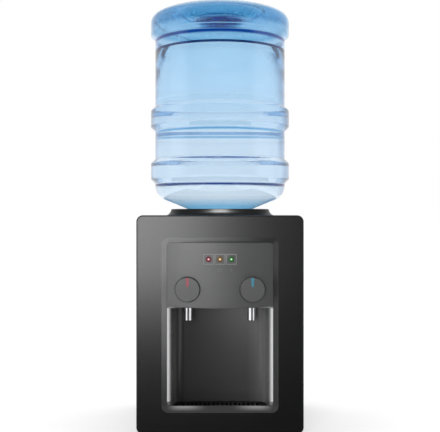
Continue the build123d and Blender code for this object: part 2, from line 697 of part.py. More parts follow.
with BuildPart() as niche_liner:
    niche_prism(WALL, NICHE_FLOOR - WALL, NICHE_TOP)
    niche_prism(0, NICHE_FLOOR, NICHE_CEILING, Mode.SUBTRACT)
    with BuildSketch(front_plane(FLANGE_BACK)):
        with Locations((0, (NICHE_FLOOR - WALL + NICHE_TOP) / 2)):
            Rectangle(2 * FLANGE_HALF, NICHE_TOP - NICHE_FLOOR + WALL)
        with Locations((0, (LIP_IN_LOW + NICHE_CEILING) / 2)):
            Rectangle(LIP_IN_W, NICHE_CEILING - LIP_IN_LOW, mode=Mode.SUBTRACT)
    extrude(amount=WALL)
    niche_prism(0, LIP_IN_LOW, NICHE_CEILING, Mode.SUBTRACT)
    rods_z(SPOUT_R + FIT, NICHE_CEILING, NICHE_TOP, NOZZLE_SPOTS, Mode.SUBTRACT)
    rods_z(SCREW_R + FIT / 2, NICHE_CEILING, NICHE_TOP, TAP_SCREWS, Mode.SUBTRACT)
    rods_y(SCREW_R + FIT / 2, FLANGE_BACK, LIP_BACK, NICHE_SCREWS, Mode.SUBTRACT)
save(niche_liner, "niche_liner")


def raked_cut(shift):
    """Takes away what lies in front of the tray's leaning front wall, shifted back by a wall."""
    foot_y = FLANGE_BACK + TRAY_GAP + shift
    with BuildSketch(Plane.YZ.offset(-HALF_W)) as wedge:
        with BuildLine():
            Polyline(
                (FRONT_Y, NICHE_FLOOR - WALL), (foot_y + (LIP_IN_LOW - NICHE_FLOOR + WALL) * TRAY_RAKE,
                                                NICHE_FLOOR - WALL),
                (foot_y, LIP_IN_LOW), (FRONT_Y, LIP_IN_LOW), close=True,
            )
        make_face()
    extrude(wedge.sketch, amount=BODY_W, mode=Mode.SUBTRACT)


def tray_form(inset, rake_shift, low, high):
    with BuildPart() as form:
        niche_prism(-TRAY_GAP - inset, low, high)
        raked_cut(rake_shift)
    return form.part


LEDGE_Z = TRAY_RIM - GRILLE_T - FIT

with BuildPart() as drip_tray:
    add(tray_form(0, 0, NICHE_FLOOR, TRAY_RIM))
    add(tray_form(TRAY_WALL, TRAY_WALL, LEDGE_Z, TRAY_RIM), mode=Mode.SUBTRACT)
    add(tray_form(TRAY_WALL + LEDGE, TRAY_WALL + LEDGE, NICHE_FLOOR + TRAY_WALL, LEDGE_Z),
        mode=Mode.SUBTRACT)
save(drip_tray, "drip_tray")

GRILLE_FRONT = FLANGE_BACK + TRAY_GAP + TRAY_WALL + (LIP_IN_LOW - LEDGE_Z) * TRAY_RAKE

with BuildPart() as drip_grille:
    add(tray_form(TRAY_WALL + FIT, TRAY_WALL + FIT, LEDGE_Z, LEDGE_Z + GRILLE_T))
    slot_front = GRILLE_FRONT + GRILLE_MARGIN
    slot_back = NICHE_BACK - NICHE_SAG - TRAY_GAP - TRAY_WALL - GRILLE_MARGIN
    with BuildSketch(Plane.XY.offset(LEDGE_Z)):
        with Locations((0, (slot_front + slot_back) / 2)):
            with GridLocations(GRILLE_PITCH, 1, GRILLE_SLOTS, 1):
                SlotOverall(slot_back - slot_front, GRILLE_SLOT, rotation=90)
    extrude(amount=GRILLE_T, mode=Mode.SUBTRACT)
save(drip_grille, "drip_grille")


# Casing: top cover, sides, rear panel, base and feet

with BuildPart() as top_cover:
    extrude(case_band(SIDE_TOP, BODY_TOP), amount=CASE_L)
    rods_y(BOSS_R, CASE_REAR, CASE_REAR - BOSS_L, EDGE_SCREWS[1::2])
    rods_y(SCREW_R + FIT / 2, CASE_REAR, CASE_REAR - SCREW_L, EDGE_SCREWS[1::2], Mode.SUBTRACT)
    rods_z(SEAT_HOLE_R, BODY_TOP - WALL, BODY_TOP, [(0, 0)], Mode.SUBTRACT)
save(top_cover, "top_cover")

with BuildPart() as base:
    extrude(case_band(FOOT_H, SIDE_LOW), amount=CASE_L)
    rods_y(BOSS_R, CASE_REAR, CASE_REAR - BOSS_L, EDGE_SCREWS[0::2])
    rods_y(SCREW_R + FIT / 2, CASE_REAR, CASE_REAR - SCREW_L, EDGE_SCREWS[0::2], Mode.SUBTRACT)
    rods_z(STANDOFF_R, BASE_TOP, BASE_TOP + STANDOFF_H, BOARD_PINS)
    rods_z(BOARD_PIN_R, BASE_TOP + STANDOFF_H, BASE_TOP + STANDOFF_H + 2 * BOARD_T, BOARD_PINS)
    rods_z(FOOT_STEM_R + FIT, FOOT_H, BASE_TOP, FEET, Mode.SUBTRACT)
save(base, "base")

with BuildPart() as feet:
    rods_z(FOOT_R, 0, FOOT_H, FEET)
    chamfer(feet.edges().group_by(Axis.Z)[0], FOOT_EDGE)
    rods_z(FOOT_STEM_R, FOOT_H, BASE_TOP + WALL, FEET)
save(feet, "feet")

for side, name in ((-1, "left"), (1, "right")):
    outer = side * HALF_W
    inner = side * (HALF_W - SHEET)
    fold = side * (HALF_W - SHEET - FOLD)
    with BuildPart() as side_panel:
        z_span = (SIDE_LOW, SIDE_TOP)
        block(sorted((outer, inner)), (CASE_FRONT, CASE_REAR), z_span)
        block(sorted((inner, fold)), (CASE_FRONT, CASE_FRONT + SHEET), z_span)
        block(sorted((inner, fold)), (CASE_REAR - SHEET, CASE_REAR), z_span)
        rods_y(SCREW_R + FIT / 2, CASE_REAR, CASE_REAR - SHEET, SIDE_SCREWS, Mode.SUBTRACT)
    save(side_panel, f"{name}_side_panel")

guard_rows = int(FAN_BORE_R / GUARD_PITCH)

with BuildPart() as rear_panel:
    with BuildSketch(front_plane(REAR_REACH)):
        with Locations((0, BODY_MID)):
            RectangleRounded(BODY_W - 2 * SHEET, BODY_H - 2 * SHEET, CORNER_R - SHEET)
        with Locations(*EDGE_SCREWS, *SIDE_SCREWS, *FAN_SCREWS):
            Circle(SCREW_R + FIT / 2, mode=Mode.SUBTRACT)
        for row in range(-guard_rows, guard_rows + 1):
            height = row * GUARD_PITCH
            reach = FAN_BORE_R ** 2 - (abs(height) + GUARD_SLOT / 2) ** 2
            if reach > GUARD_PITCH ** 2:
                with Locations((0, COLD_Z + height)):
                    SlotOverall(2 * reach ** 0.5, GUARD_SLOT, mode=Mode.SUBTRACT)
        with Locations((VENT_X, VENT_Z)):
            with GridLocations(1, VENT_PITCH, 1, VENT_ROWS):
                SlotOverall(VENT_L, VENT_SLOT, mode=Mode.SUBTRACT)
        with Locations(*((x, SWITCH_Z) for x in SWITCH_X)):
            Rectangle(SWITCH_W + FIT, SWITCH_H + FIT, mode=Mode.SUBTRACT)
        with Locations((GLAND_X, GLAND_Z)):
            Circle(GLAND_R + FIT / 2, mode=Mode.SUBTRACT)
        with Locations((HOT_X, DRAIN_Z)):
            Circle(DRAIN_R + FIT / 2, mode=Mode.SUBTRACT)
    extrude(amount=SHEET)
save(rear_panel, "rear_panel")


# One size of screw holds the rear panel, the fan, the front inserts and the taps

foot_top = NICHE_TOP + TAP_FOOT_H

with BuildPart() as casing_screws:
    for spots, seat in ((EDGE_SCREWS + SIDE_SCREWS + FAN_SCREWS, REAR_REACH),
                        (PANEL_SCREWS + NICHE_SCREWS, FLANGE_BACK)):
        rods_y(SCREW_HEAD_R, seat + SCREW_HEAD_H, seat, spots)
        rods_y(SCREW_R, seat, seat - SCREW_L, spots)
    rods_z(SCREW_HEAD_R, foot_top, foot_top + SCREW_HEAD_H, TAP_SCREWS)
    rods_z(SCREW_R, foot_top - SCREW_L, foot_top, TAP_SCREWS)
save(casing_screws, "casing_screws")


# Bottle with its cap, and the collar and seat that carry it

def shoulder_z(radius):
    """Height of the bottle's shoulder cone at a radius."""
    return SHOULDER_Z - (BOTTLE_R - radius) * SHOULDER_TAN


with BuildPart() as bottle:
    with BuildSketch(Plane.XZ) as bottle_section:
        with BuildLine():
            FilletPolyline(
                (0, BOTTLE_TOP - PUSH_UP), (PUSH_UP_R, BOTTLE_TOP - PUSH_UP), (BASE_RIM_IN, BOTTLE_TOP),
                (BASE_RIM_OUT, BOTTLE_TOP), (RIB_R, BOTTLE_TOP - HEEL_DROP), (RIB_R, HEEL_LOW),
                (BOTTLE_R, HEEL_LOW - RIB_SLOPE),
                (BOTTLE_R, MID_RIB[1] + RIB_SLOPE / 2), (RIB_R, MID_RIB[1] - RIB_SLOPE / 2),
                (RIB_R, MID_RIB[0] + RIB_SLOPE / 2), (BOTTLE_R, MID_RIB[0] - RIB_SLOPE / 2),
                (BOTTLE_R, LOW_RIB[1] + RIB_SLOPE / 2), (RIB_R, LOW_RIB[1] - RIB_SLOPE / 2),
                (RIB_R, LOW_RIB[0] + RIB_SLOPE / 2), (BOTTLE_R, LOW_RIB[0] - RIB_SLOPE / 2),
                (BOTTLE_R, SHOULDER_Z), (NECK_R, NECK_TOP), (NECK_R, MOUTH_Z),
                radius=[PUSH_UP_ROUND, BASE_RIM_ROUND, HEEL_TOP_ROUND, HEEL_ROUND, *[RIB_ROUND] * 10,
                        SHOULDER_R, NECK_ROUND],
            )
            Polyline((NECK_R, MOUTH_Z), (0, MOUTH_Z), (0, BOTTLE_TOP - PUSH_UP))
        make_face()
        mirror(about=Plane.YZ)
        offset(amount=-BOTTLE_WALL, mode=Mode.SUBTRACT)
        with Locations((0, MOUTH_Z)):
            Rectangle(2 * (NECK_R - BOTTLE_WALL), 4 * BOTTLE_WALL, mode=Mode.SUBTRACT)
        with Locations((-RIB_R, BOTTLE_TOP / 2)):
            Rectangle(2 * RIB_R, 2 * BOTTLE_TOP, mode=Mode.SUBTRACT)
    revolve(axis=Axis.Z)
save(bottle, "bottle")

CAP_HOLE = PROBE_R + CAP_PLAY
cap_in = NECK_R + FIT

with BuildPart() as bottle_cap:
    ring([
        (CAP_HOLE, MOUTH_Z - CAP_T), (cap_in + CAP_T, MOUTH_Z - CAP_T), (cap_in + CAP_T, MOUTH_Z + CAP_H),
        (cap_in, MOUTH_Z + CAP_H), (cap_in, MOUTH_Z), (CAP_HOLE + CAP_T, MOUTH_Z),
        (CAP_HOLE + CAP_T, MOUTH_Z + CAP_SLEEVE), (CAP_HOLE, MOUTH_Z + CAP_SLEEVE),
    ])
save(bottle_cap, "bottle_cap")

SEAT_GAP = FIT / cos(radians(SHOULDER_SLOPE))


def seat_z(radius):
    """Upper face of the seat's funnel, just under the bottle's shoulder."""
    return shoulder_z(radius) - SEAT_GAP


cup_out = SEAT_CUP_R + WALL
riser_in = SEAT_RIM_R - WALL

with BuildPart() as bottle_seat:
    ring([
        (PROBE_R + FIT, SEAT_FLOOR - WALL), (PROBE_R + FIT, SEAT_FLOOR), (SEAT_CUP_R, SEAT_FLOOR),
        (SEAT_CUP_R, seat_z(SEAT_CUP_R)), (SEAT_RIM_R, seat_z(SEAT_RIM_R)),
        (SEAT_RIM_R, BODY_TOP + WALL), (SEAT_FLANGE_R, BODY_TOP + WALL), (SEAT_FLANGE_R, BODY_TOP),
        (riser_in, BODY_TOP), (riser_in, seat_z(riser_in) - WALL), (cup_out, seat_z(cup_out) - WALL),
        (cup_out, SEAT_FLOOR - WALL),
    ])
save(bottle_seat, "bottle_seat")

with BuildPart() as feed_probe:
    probe_low = TANK_TOP - TANK_LID_T
    ring([
        (PROBE_BORE, probe_low), (PROBE_R, probe_low), (PROBE_R, SEAT_FLOOR),
        (PROBE_FLANGE_R, SEAT_FLOOR), (PROBE_FLANGE_R, SEAT_FLOOR + PROBE_FLANGE_T),
        (PROBE_R, SEAT_FLOOR + PROBE_FLANGE_T), (PROBE_R, PROBE_TOP), (0, PROBE_TOP + PROBE_TIP),
        (0, PROBE_TOP), (PROBE_BORE, PROBE_TOP),
    ])
    block((-PROBE_R, PROBE_R), (-PROBE_BORE / 2, PROBE_BORE / 2), (PROBE_TOP - 2 * PROBE_R, PROBE_TOP),
          Mode.SUBTRACT)
    block((-PROBE_BORE / 2, PROBE_BORE / 2), (-PROBE_R, PROBE_R), (PROBE_TOP - 2 * PROBE_R, PROBE_TOP),
          Mode.SUBTRACT)
save(feed_probe, "feed_probe")

with BuildPart() as seat_seal:
    seal_in = PROBE_R + FIT
    ring([(seal_in, LID_TOP), (PROBE_FLANGE_R, LID_TOP), (PROBE_FLANGE_R, SEAT_FLOOR - WALL),
          (seal_in, SEAT_FLOOR - WALL)])
save(seat_seal, "seat_seal")

collar_mid_r = (COLLAR_R + COLLAR_TOP_R) / 2 - COLLAR_HOLLOW
collar_mid_z = BODY_TOP + COLLAR_H / 2 - COLLAR_HOLLOW

with BuildPart() as bottle_collar:
    with BuildSketch(Plane.XZ) as collar_section:
        with BuildLine():
            ThreePointArc((COLLAR_R, BODY_TOP), (collar_mid_r, collar_mid_z),
                          (COLLAR_TOP_R, BODY_TOP + COLLAR_H))
            Polyline((COLLAR_TOP_R, BODY_TOP + COLLAR_H), (COLLAR_MOUTH_R, BODY_TOP + COLLAR_H),
                     (COLLAR_MOUTH_R, BODY_TOP + COLLAR_H - WALL),
                     (COLLAR_TOP_R - WALL, BODY_TOP + COLLAR_H - WALL))
            ThreePointArc((COLLAR_TOP_R - WALL, BODY_TOP + COLLAR_H - WALL),
                          (collar_mid_r - WALL, collar_mid_z), (COLLAR_R - COLLAR_FOOT, BODY_TOP))
            Line((COLLAR_R - COLLAR_FOOT, BODY_TOP), (COLLAR_R, BODY_TOP))
        make_face()
    revolve(axis=Axis.Z)
    fillet(bottle_collar.edges().filter_by(GeomType.CIRCLE).sort_by(Axis.Z)[-2:], COLLAR_EDGE_R)
save(bottle_collar, "bottle_collar")


# Cold side: tank, foam, shelf, thermoelectric cooler and fan

tank_in = TANK_R - TANK_WALL
feed_spot = [(HOT_FEED_X, HOT_Y)]
feed_low = SHELF_Z - SPIGOT_L

with BuildPart() as cold_tank:
    ring([(0, TANK_LOW), (TANK_R, TANK_LOW), (TANK_R, TANK_TOP), (0, TANK_TOP)])
    block((-PAD_W / 2, PAD_W / 2), (0, PAD_REACH), (COLD_Z - PAD_W / 2, COLD_Z + PAD_W / 2))
    rods_x(SPIGOT_R, 0, SPIGOT_X, [(COLD_OUT_Y, KNOB_Z)])
    rods_z(SPIGOT_R, feed_low, TANK_LOW, feed_spot)
    ring([(0, TANK_LOW + TANK_WALL), (tank_in, TANK_LOW + TANK_WALL), (tank_in, TANK_TOP), (0, TANK_TOP)],
         Mode.SUBTRACT)
    rods_x(SPIGOT_BORE, 0, SPIGOT_X, [(COLD_OUT_Y, KNOB_Z)], Mode.SUBTRACT)
    rods_z(SPIGOT_BORE, feed_low, TANK_LOW + TANK_WALL, feed_spot, Mode.SUBTRACT)
save(cold_tank, "cold_tank")

with BuildPart() as cold_tank_lid:
    rods_z(TANK_R, TANK_TOP, LID_TOP, [(0, 0)])
    rods_z(tank_in - FIT, TANK_TOP - TANK_LID_T, TANK_TOP, [(0, 0)])
    rods_z(PROBE_R + FIT, TANK_TOP - TANK_LID_T, LID_TOP, [(0, 0)], Mode.SUBTRACT)
save(cold_tank_lid, "cold_tank_lid")

BAFFLE_Z = TANK_LOW + TANK_WALL + BAFFLE_H
BAFFLE_LEGS = [(BAFFLE_LEG_R * cos(radians(a)), BAFFLE_LEG_R * sin(radians(a))) for a in LEG_ANGLES]

with BuildPart() as cold_tank_baffle:
    rods_z(tank_in - 2 * FIT, BAFFLE_Z, BAFFLE_Z + BAFFLE_T, [(0, 0)])
    rods_z(TUBE_R, TANK_LOW + TANK_WALL, BAFFLE_Z, BAFFLE_LEGS)
    with BuildSketch(Plane.XY.offset(BAFFLE_Z)):
        with PolarLocations(tank_in / 2, BAFFLE_HOLES):
            Circle(TUBE_R)
    extrude(amount=BAFFLE_T, mode=Mode.SUBTRACT)
save(cold_tank_baffle, "cold_tank_baffle")

with BuildPart() as foam:
    ring([(0, SHELF_TOP), (FOAM_R, SHELF_TOP), (FOAM_R, TANK_TOP), (0, TANK_TOP)])
    ring([(0, TANK_LOW), (TANK_R + FIT, TANK_LOW), (TANK_R + FIT, TANK_TOP), (0, TANK_TOP)], Mode.SUBTRACT)
    window = PAD_W / 2 + FIT
    block((-window, window), (0, FOAM_R), (COLD_Z - window, COLD_Z + window), Mode.SUBTRACT)
    rods_x(SPIGOT_R + FIT, 0, FOAM_R, [(COLD_OUT_Y, KNOB_Z)], Mode.SUBTRACT)
    rods_z(SPIGOT_R + FIT, SHELF_TOP, TANK_LOW, feed_spot, Mode.SUBTRACT)
save(foam, "cold_tank_insulation")

with BuildPart() as mid_shelf:
    shelf_half = HALF_W - SHEET
    block((-shelf_half, shelf_half), (SHELF_FRONT, CASE_REAR - SHEET), (SHELF_Z, SHELF_TOP))
    for side in (-1, 1):
        block(sorted((side * shelf_half, side * (shelf_half - SHELF_T))),
              (SHELF_FRONT, CASE_REAR - SHEET - FOLD), (SHELF_Z - FOLD, SHELF_Z))
    rods_z(TUBE_R + TUBE_ROOM, SHELF_Z, SHELF_TOP, [(HOT_OUT_X, HOT_Y)], Mode.SUBTRACT)
    rods_z(SPIGOT_R + FIT, SHELF_Z, SHELF_TOP, feed_spot, Mode.SUBTRACT)
    notch = SINK_W / 2 + FIT
    block((-notch, notch), (SINK_FRONT - FIT, CASE_REAR), (SHELF_Z, SHELF_TOP), Mode.SUBTRACT)
save(mid_shelf, "mid_shelf")

with BuildPart() as cold_block:
    block((-PAD_W / 2, PAD_W / 2), (PAD_REACH, BLOCK_BACK), (COLD_Z - PAD_W / 2, COLD_Z + PAD_W / 2))
save(cold_block, "cold_block")

with BuildPart() as peltier:
    half = PELTIER_W / 2
    block((-half, half), (BLOCK_BACK, SINK_FRONT), (COLD_Z - half, COLD_Z + half))
save(peltier, "peltier_module")

with BuildPart() as heat_sink:
    half = SINK_W / 2
    block((-half, half), (SINK_FRONT, FIN_FRONT), (COLD_Z - half, COLD_Z + half))
    with Locations((0, FIN_FRONT + FIN_H / 2, COLD_Z)):
        with GridLocations((SINK_W - FIN_T) / (FIN_COUNT - 1), 1, FIN_COUNT, 1):
            Box(FIN_T, FIN_H, SINK_W)
save(heat_sink, "heat_sink")

fan_centre = [(0, COLD_Z)]
motor_front = CASE_REAR - WALL

with BuildPart() as fan_frame:
    with BuildSketch(front_plane(CASE_REAR)):
        with Locations((0, COLD_Z)):
            RectangleRounded(FAN_W, FAN_W, BOSS_R)
            Circle(FAN_BORE_R, mode=Mode.SUBTRACT)
        with Locations(*FAN_SCREWS):
            Circle(SCREW_R + FIT / 2, mode=Mode.SUBTRACT)
    extrude(amount=FAN_DEPTH)
    rods_y(FAN_HUB_R, CASE_REAR, motor_front, fan_centre)
    with BuildSketch(front_plane(CASE_REAR)):
        for angle in SPOKE_ANGLES:
            with Locations((0, COLD_Z)):
                with PolarLocations(FAN_BORE_R / 2 + BOSS_R, 1, start_angle=angle):
                    Rectangle(FAN_BORE_R, BOSS_R)
    extrude(amount=WALL)
    rods_y(FAN_PIN_R, motor_front, FAN_FRONT + 2 * WALL, fan_centre)
save(fan_frame, "fan_frame")

rotor_mid = (FAN_FRONT + motor_front) / 2
blade_l = FAN_BORE_R - FAN_TIP_GAP - FAN_HUB_R

with BuildPart() as fan_rotor:
    rods_y(FAN_HUB_R, motor_front - FAN_PLAY, FAN_FRONT + FAN_PLAY, fan_centre)
    fillet(fan_rotor.faces().sort_by(Axis.Y)[0].edges(), WALL)
    for blade in range(FAN_BLADES):
        turn = radians(360 / FAN_BLADES * blade)
        out = Vector(cos(turn), 0, sin(turn))
        root = Vector(0, rotor_mid, COLD_Z) + out * (FAN_HUB_R - BLADE_ROOT)
        with BuildSketch(Plane(root, x_dir=(0, 1, 0), z_dir=out)):
            Rectangle(BLADE_CHORD, BLADE_T, rotation=BLADE_PITCH)
        extrude(amount=blade_l)
    rods_y(FAN_PIN_R + SPIGOT_GAP, motor_front - FAN_PLAY, FAN_FRONT + 2 * WALL - FIT, fan_centre, Mode.SUBTRACT)
save(fan_rotor, "fan_rotor")


# Hot side: tank, band heater, thermostats and bracket

hot_spot = [(HOT_X, HOT_Y)]
hot_tops = [(HOT_FEED_X, HOT_Y), (HOT_OUT_X, HOT_Y)]
hot_in = HOT_R - HOT_WALL

with BuildPart() as hot_tank:
    rods_z(HOT_R, HOT_LOW, HOT_TOP, hot_spot)
    fillet(hot_tank.edges().filter_by(GeomType.CIRCLE), HOT_EDGE_R)
    rods_z(SPIGOT_R, HOT_TOP, HOT_TOP + SPIGOT_L, hot_tops)
    rods_z(SPIGOT_R, HOT_LOW - SPIGOT_L, HOT_LOW, hot_spot)
    with BuildSketch(Plane.XY.offset(HOT_LOW + HOT_WALL)) as hollow:
        with Locations((HOT_X, HOT_Y)):
            Circle(hot_in - HOT_EDGE_R)
    rods_z(hot_in, HOT_LOW + HOT_EDGE_R, HOT_TOP - HOT_EDGE_R, hot_spot, Mode.SUBTRACT)
    extrude(hollow.sketch, amount=HOT_TOP - HOT_LOW - 2 * HOT_WALL, mode=Mode.SUBTRACT)
    rods_z(SPIGOT_BORE, HOT_TOP - HOT_EDGE_R, HOT_TOP + SPIGOT_L, hot_tops, Mode.SUBTRACT)
    rods_z(SPIGOT_BORE, HOT_LOW - SPIGOT_L, HOT_LOW + HOT_EDGE_R, hot_spot, Mode.SUBTRACT)
save(hot_tank, "hot_tank")

band_in = HOT_R + FIT
ear_y = HOT_Y - band_in

with BuildPart() as heater_band:
    rods_z(band_in + HEATER_T, HEATER_LOW, HEATER_LOW + HEATER_H, hot_spot)
    block((HOT_X - BOSS_R, HOT_X + BOSS_R), (ear_y - 2 * BOSS_R, HOT_Y),
          (HEATER_LOW + BOSS_R, HEATER_LOW + HEATER_H - BOSS_R))
    rods_z(band_in, HEATER_LOW, HEATER_LOW + HEATER_H, hot_spot, Mode.SUBTRACT)
    block((HOT_X - HEATER_SLIT / 2, HOT_X + HEATER_SLIT / 2), (ear_y - 2 * BOSS_R, HOT_Y), (HEATER_LOW, HEATER_LOW + HEATER_H),
          Mode.SUBTRACT)
save(heater_band, "heater_band")

with BuildPart() as thermostats:
    pad_x = HOT_X + HOT_R + FIT
    rods_x(THERMOSTAT_R, pad_x, pad_x + THERMOSTAT_FLANGE_T, [(HOT_Y, z) for z in THERMOSTAT_Z])
    rods_x(THERMOSTAT_R - THERMOSTAT_STEP, pad_x, pad_x + THERMOSTAT_L, [(HOT_Y, z) for z in THERMOSTAT_Z])
save(thermostats, "thermostats")

with BuildPart() as hot_tank_bracket:
    rods_z(band_in + BRACKET_T, BRACKET_LOW, BRACKET_LOW + BRACKET_H, hot_spot)
    for angle in LEG_ANGLES:
        out = Vector(cos(radians(angle)), sin(radians(angle)), 0)
        leg = Vector(HOT_X, HOT_Y, BASE_TOP) + out * (band_in + BRACKET_T / 2)
        with BuildSketch(Plane(leg, x_dir=out, z_dir=(0, 0, 1))):
            Rectangle(BRACKET_T, BRACKET_LEG)
        extrude(amount=BRACKET_LOW - BASE_TOP + BRACKET_H)
        with BuildSketch(Plane(leg, x_dir=out, z_dir=(0, 0, 1))):
            with Locations((BRACKET_FOOT / 2, 0)):
                Rectangle(BRACKET_FOOT, BRACKET_LEG)
        extrude(amount=BRACKET_T)
    rods_z(band_in, BASE_TOP, BRACKET_LOW + BRACKET_H, hot_spot, Mode.SUBTRACT)
save(hot_tank_bracket, "hot_tank_bracket")


# Tubes, and the drain at the rear

tube_end_x = SPIGOT_X - SPIGOT_L
hot_feed_tube = tube([(HOT_FEED_X, HOT_Y, HOT_TOP), (HOT_FEED_X, HOT_Y, SHELF_Z)])
save(hot_feed_tube, "hot_feed_tube")
hot_outlet_tube = tube([
    (HOT_OUT_X, HOT_Y, HOT_TOP), (HOT_OUT_X, HOT_Y, KNOB_Z), (-TUBE_LANE_X, HOT_Y, KNOB_Z),
    (-TUBE_LANE_X, TAP_Y, KNOB_Z), (-tube_end_x, TAP_Y, KNOB_Z),
])
save(hot_outlet_tube, "hot_outlet_tube")
cold_outlet_tube = tube([
    (FOAM_R + FIT, COLD_OUT_Y, KNOB_Z), (TUBE_LANE_X, COLD_OUT_Y, KNOB_Z),
    (TUBE_LANE_X, TAP_Y, KNOB_Z), (tube_end_x, TAP_Y, KNOB_Z),
])
save(cold_outlet_tube, "cold_outlet_tube")
drain_inner = CASE_REAR - 2 * WALL
drain_tube = tube([(HOT_X, HOT_Y, HOT_LOW), (HOT_X, HOT_Y, DRAIN_Z), (HOT_X, drain_inner, DRAIN_Z)])
save(drain_tube, "drain_tube")

drain_spot = [(HOT_X, DRAIN_Z)]
drain_out = REAR_REACH + DRAIN_FLANGE_T
spout_end = CAP_END - DRAIN_CAP_WALL

with BuildPart() as drain_spout:
    rods_y(DRAIN_R, spout_end, drain_inner, drain_spot)
    rods_y(DRAIN_FLANGE_R, drain_out, REAR_REACH, drain_spot)
    rods_y(SPIGOT_R, drain_inner, drain_inner - SPIGOT_L, drain_spot)
    rods_y(SPIGOT_BORE, spout_end, drain_inner - SPIGOT_L, drain_spot, Mode.SUBTRACT)
save(drain_spout, "drain_spout")

with BuildPart() as drain_cap:
    rods_y(DRAIN_R + FIT + DRAIN_CAP_WALL, CAP_END, drain_out, drain_spot)
    chamfer(drain_cap.faces().sort_by(Axis.Y)[-1].edges(), DRAIN_CAP_EDGE)
    rods_y(DRAIN_R + FIT, spout_end, drain_out, drain_spot, Mode.SUBTRACT)
save(drain_cap, "drain_cap")


# Rocker switches and cord gland on the rear panel

pivot_y = REAR_REACH + SWITCH_RIM_T / 2

for x, name in zip(SWITCH_X, ("heat", "cool")):
    with BuildPart() as switch_housing:
        half_w = SWITCH_W / 2
        half_h = SWITCH_H / 2
        block((x - half_w, x + half_w), (REAR_REACH - SWITCH_DEPTH, REAR_REACH),
              (SWITCH_Z - half_h, SWITCH_Z + half_h))
        block((x - half_w - SWITCH_RIM, x + half_w + SWITCH_RIM), (REAR_REACH, REAR_REACH + SWITCH_RIM_T),
              (SWITCH_Z - half_h - SWITCH_RIM, SWITCH_Z + half_h + SWITCH_RIM))
        well_w = ROCKER_W / 2 + FIT
        well_h = ROCKER_HALF + ROCKER_ROOM
        block((x - well_w, x + well_w), (REAR_REACH - SWITCH_DEPTH + WALL, REAR_REACH + SWITCH_RIM_T),
              (SWITCH_Z - well_h, SWITCH_Z + well_h), Mode.SUBTRACT)
        rods_x(ROCKER_PIN_R + SPIGOT_GAP, x - half_w, x + half_w, [(pivot_y, SWITCH_Z)], Mode.SUBTRACT)
    save(switch_housing, f"{name}_switch_housing")

    tilt = radians(ROCKER_TILT)
    with BuildPart() as rocker:
        with BuildSketch(Plane((x - ROCKER_W / 2, pivot_y, SWITCH_Z), x_dir=(0, sin(tilt), cos(tilt)),
                               z_dir=(-1, 0, 0))):
            with BuildLine():
                ThreePointArc((-ROCKER_HALF, ROCKER_CREST), (0, ROCKER_DIP), (ROCKER_HALF, ROCKER_CREST))
                Polyline((ROCKER_HALF, ROCKER_CREST), (ROCKER_HALF - ROCKER_TAPER, -ROCKER_SIDE),
                         (ROCKER_KEEL_HALF, -ROCKER_KEEL), (-ROCKER_KEEL_HALF, -ROCKER_KEEL),
                         (ROCKER_TAPER - ROCKER_HALF, -ROCKER_SIDE), (-ROCKER_HALF, ROCKER_CREST))
            make_face()
        extrude(amount=-ROCKER_W)
        rods_x(ROCKER_PIN_R, x - SWITCH_W / 2 + FIT, x + SWITCH_W / 2 - FIT, [(pivot_y, SWITCH_Z)])
    save(rocker, f"{name}_switch_rocker")

with BuildPart() as cord_gland:
    gland_spot = [(GLAND_X, GLAND_Z)]
    rods_y(GLAND_R, REAR_REACH, REAR_REACH - GLAND_DEPTH, gland_spot)
    rods_y(GLAND_FLANGE_R, REAR_REACH + GLAND_FLANGE_T, REAR_REACH, gland_spot)
    rods_y(GLAND_BORE, REAR_REACH + GLAND_FLANGE_T, REAR_REACH - GLAND_DEPTH, gland_spot, Mode.SUBTRACT)
save(cord_gland, "cord_gland")


# Power board with its parts

board_low = BASE_TOP + STANDOFF_H
board_top = board_low + BOARD_T

with BuildPart() as power_board:
    with BuildSketch(Plane.XY.offset(board_low)):
        with Locations((BOARD_X, BOARD_Y)):
            Rectangle(BOARD_W, BOARD_L)
        with Locations(*BOARD_PINS):
            Circle(BOARD_PIN_R + FIT / 2, mode=Mode.SUBTRACT)
    extrude(amount=BOARD_T)
    for (x, y), (width, length, height) in (TRANSFORMER, COOLING_PLATE, CONNECTOR):
        with Locations((BOARD_X + x, BOARD_Y + y, board_top)):
            Box(width, length, height, align=(Align.CENTER, Align.CENTER, Align.MIN))
    rods_z(CAPACITOR_R, board_top, board_top + CAPACITOR_H,
           [(BOARD_X + x, BOARD_Y + y) for x, y in CAPACITORS])
save(power_board, "power_board")
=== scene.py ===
import json
import math

import bmesh
import bpy
from mathutils import Matrix, Vector

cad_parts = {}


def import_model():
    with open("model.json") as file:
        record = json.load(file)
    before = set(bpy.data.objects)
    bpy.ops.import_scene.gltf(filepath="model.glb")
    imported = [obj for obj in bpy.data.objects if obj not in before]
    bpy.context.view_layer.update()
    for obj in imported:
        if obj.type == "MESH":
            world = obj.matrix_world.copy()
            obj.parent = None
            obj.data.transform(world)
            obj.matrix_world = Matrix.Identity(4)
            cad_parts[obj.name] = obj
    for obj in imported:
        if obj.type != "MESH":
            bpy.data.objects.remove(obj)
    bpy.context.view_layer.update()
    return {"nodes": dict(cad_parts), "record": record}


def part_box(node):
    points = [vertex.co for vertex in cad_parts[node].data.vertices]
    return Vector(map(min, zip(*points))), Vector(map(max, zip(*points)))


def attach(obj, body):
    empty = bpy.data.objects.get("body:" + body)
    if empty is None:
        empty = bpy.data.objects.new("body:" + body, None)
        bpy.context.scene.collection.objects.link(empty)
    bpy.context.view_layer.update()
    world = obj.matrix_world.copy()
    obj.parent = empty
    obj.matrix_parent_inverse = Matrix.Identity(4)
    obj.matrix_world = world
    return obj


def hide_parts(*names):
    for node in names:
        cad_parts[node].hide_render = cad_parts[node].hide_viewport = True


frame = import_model()

MM = 0.001

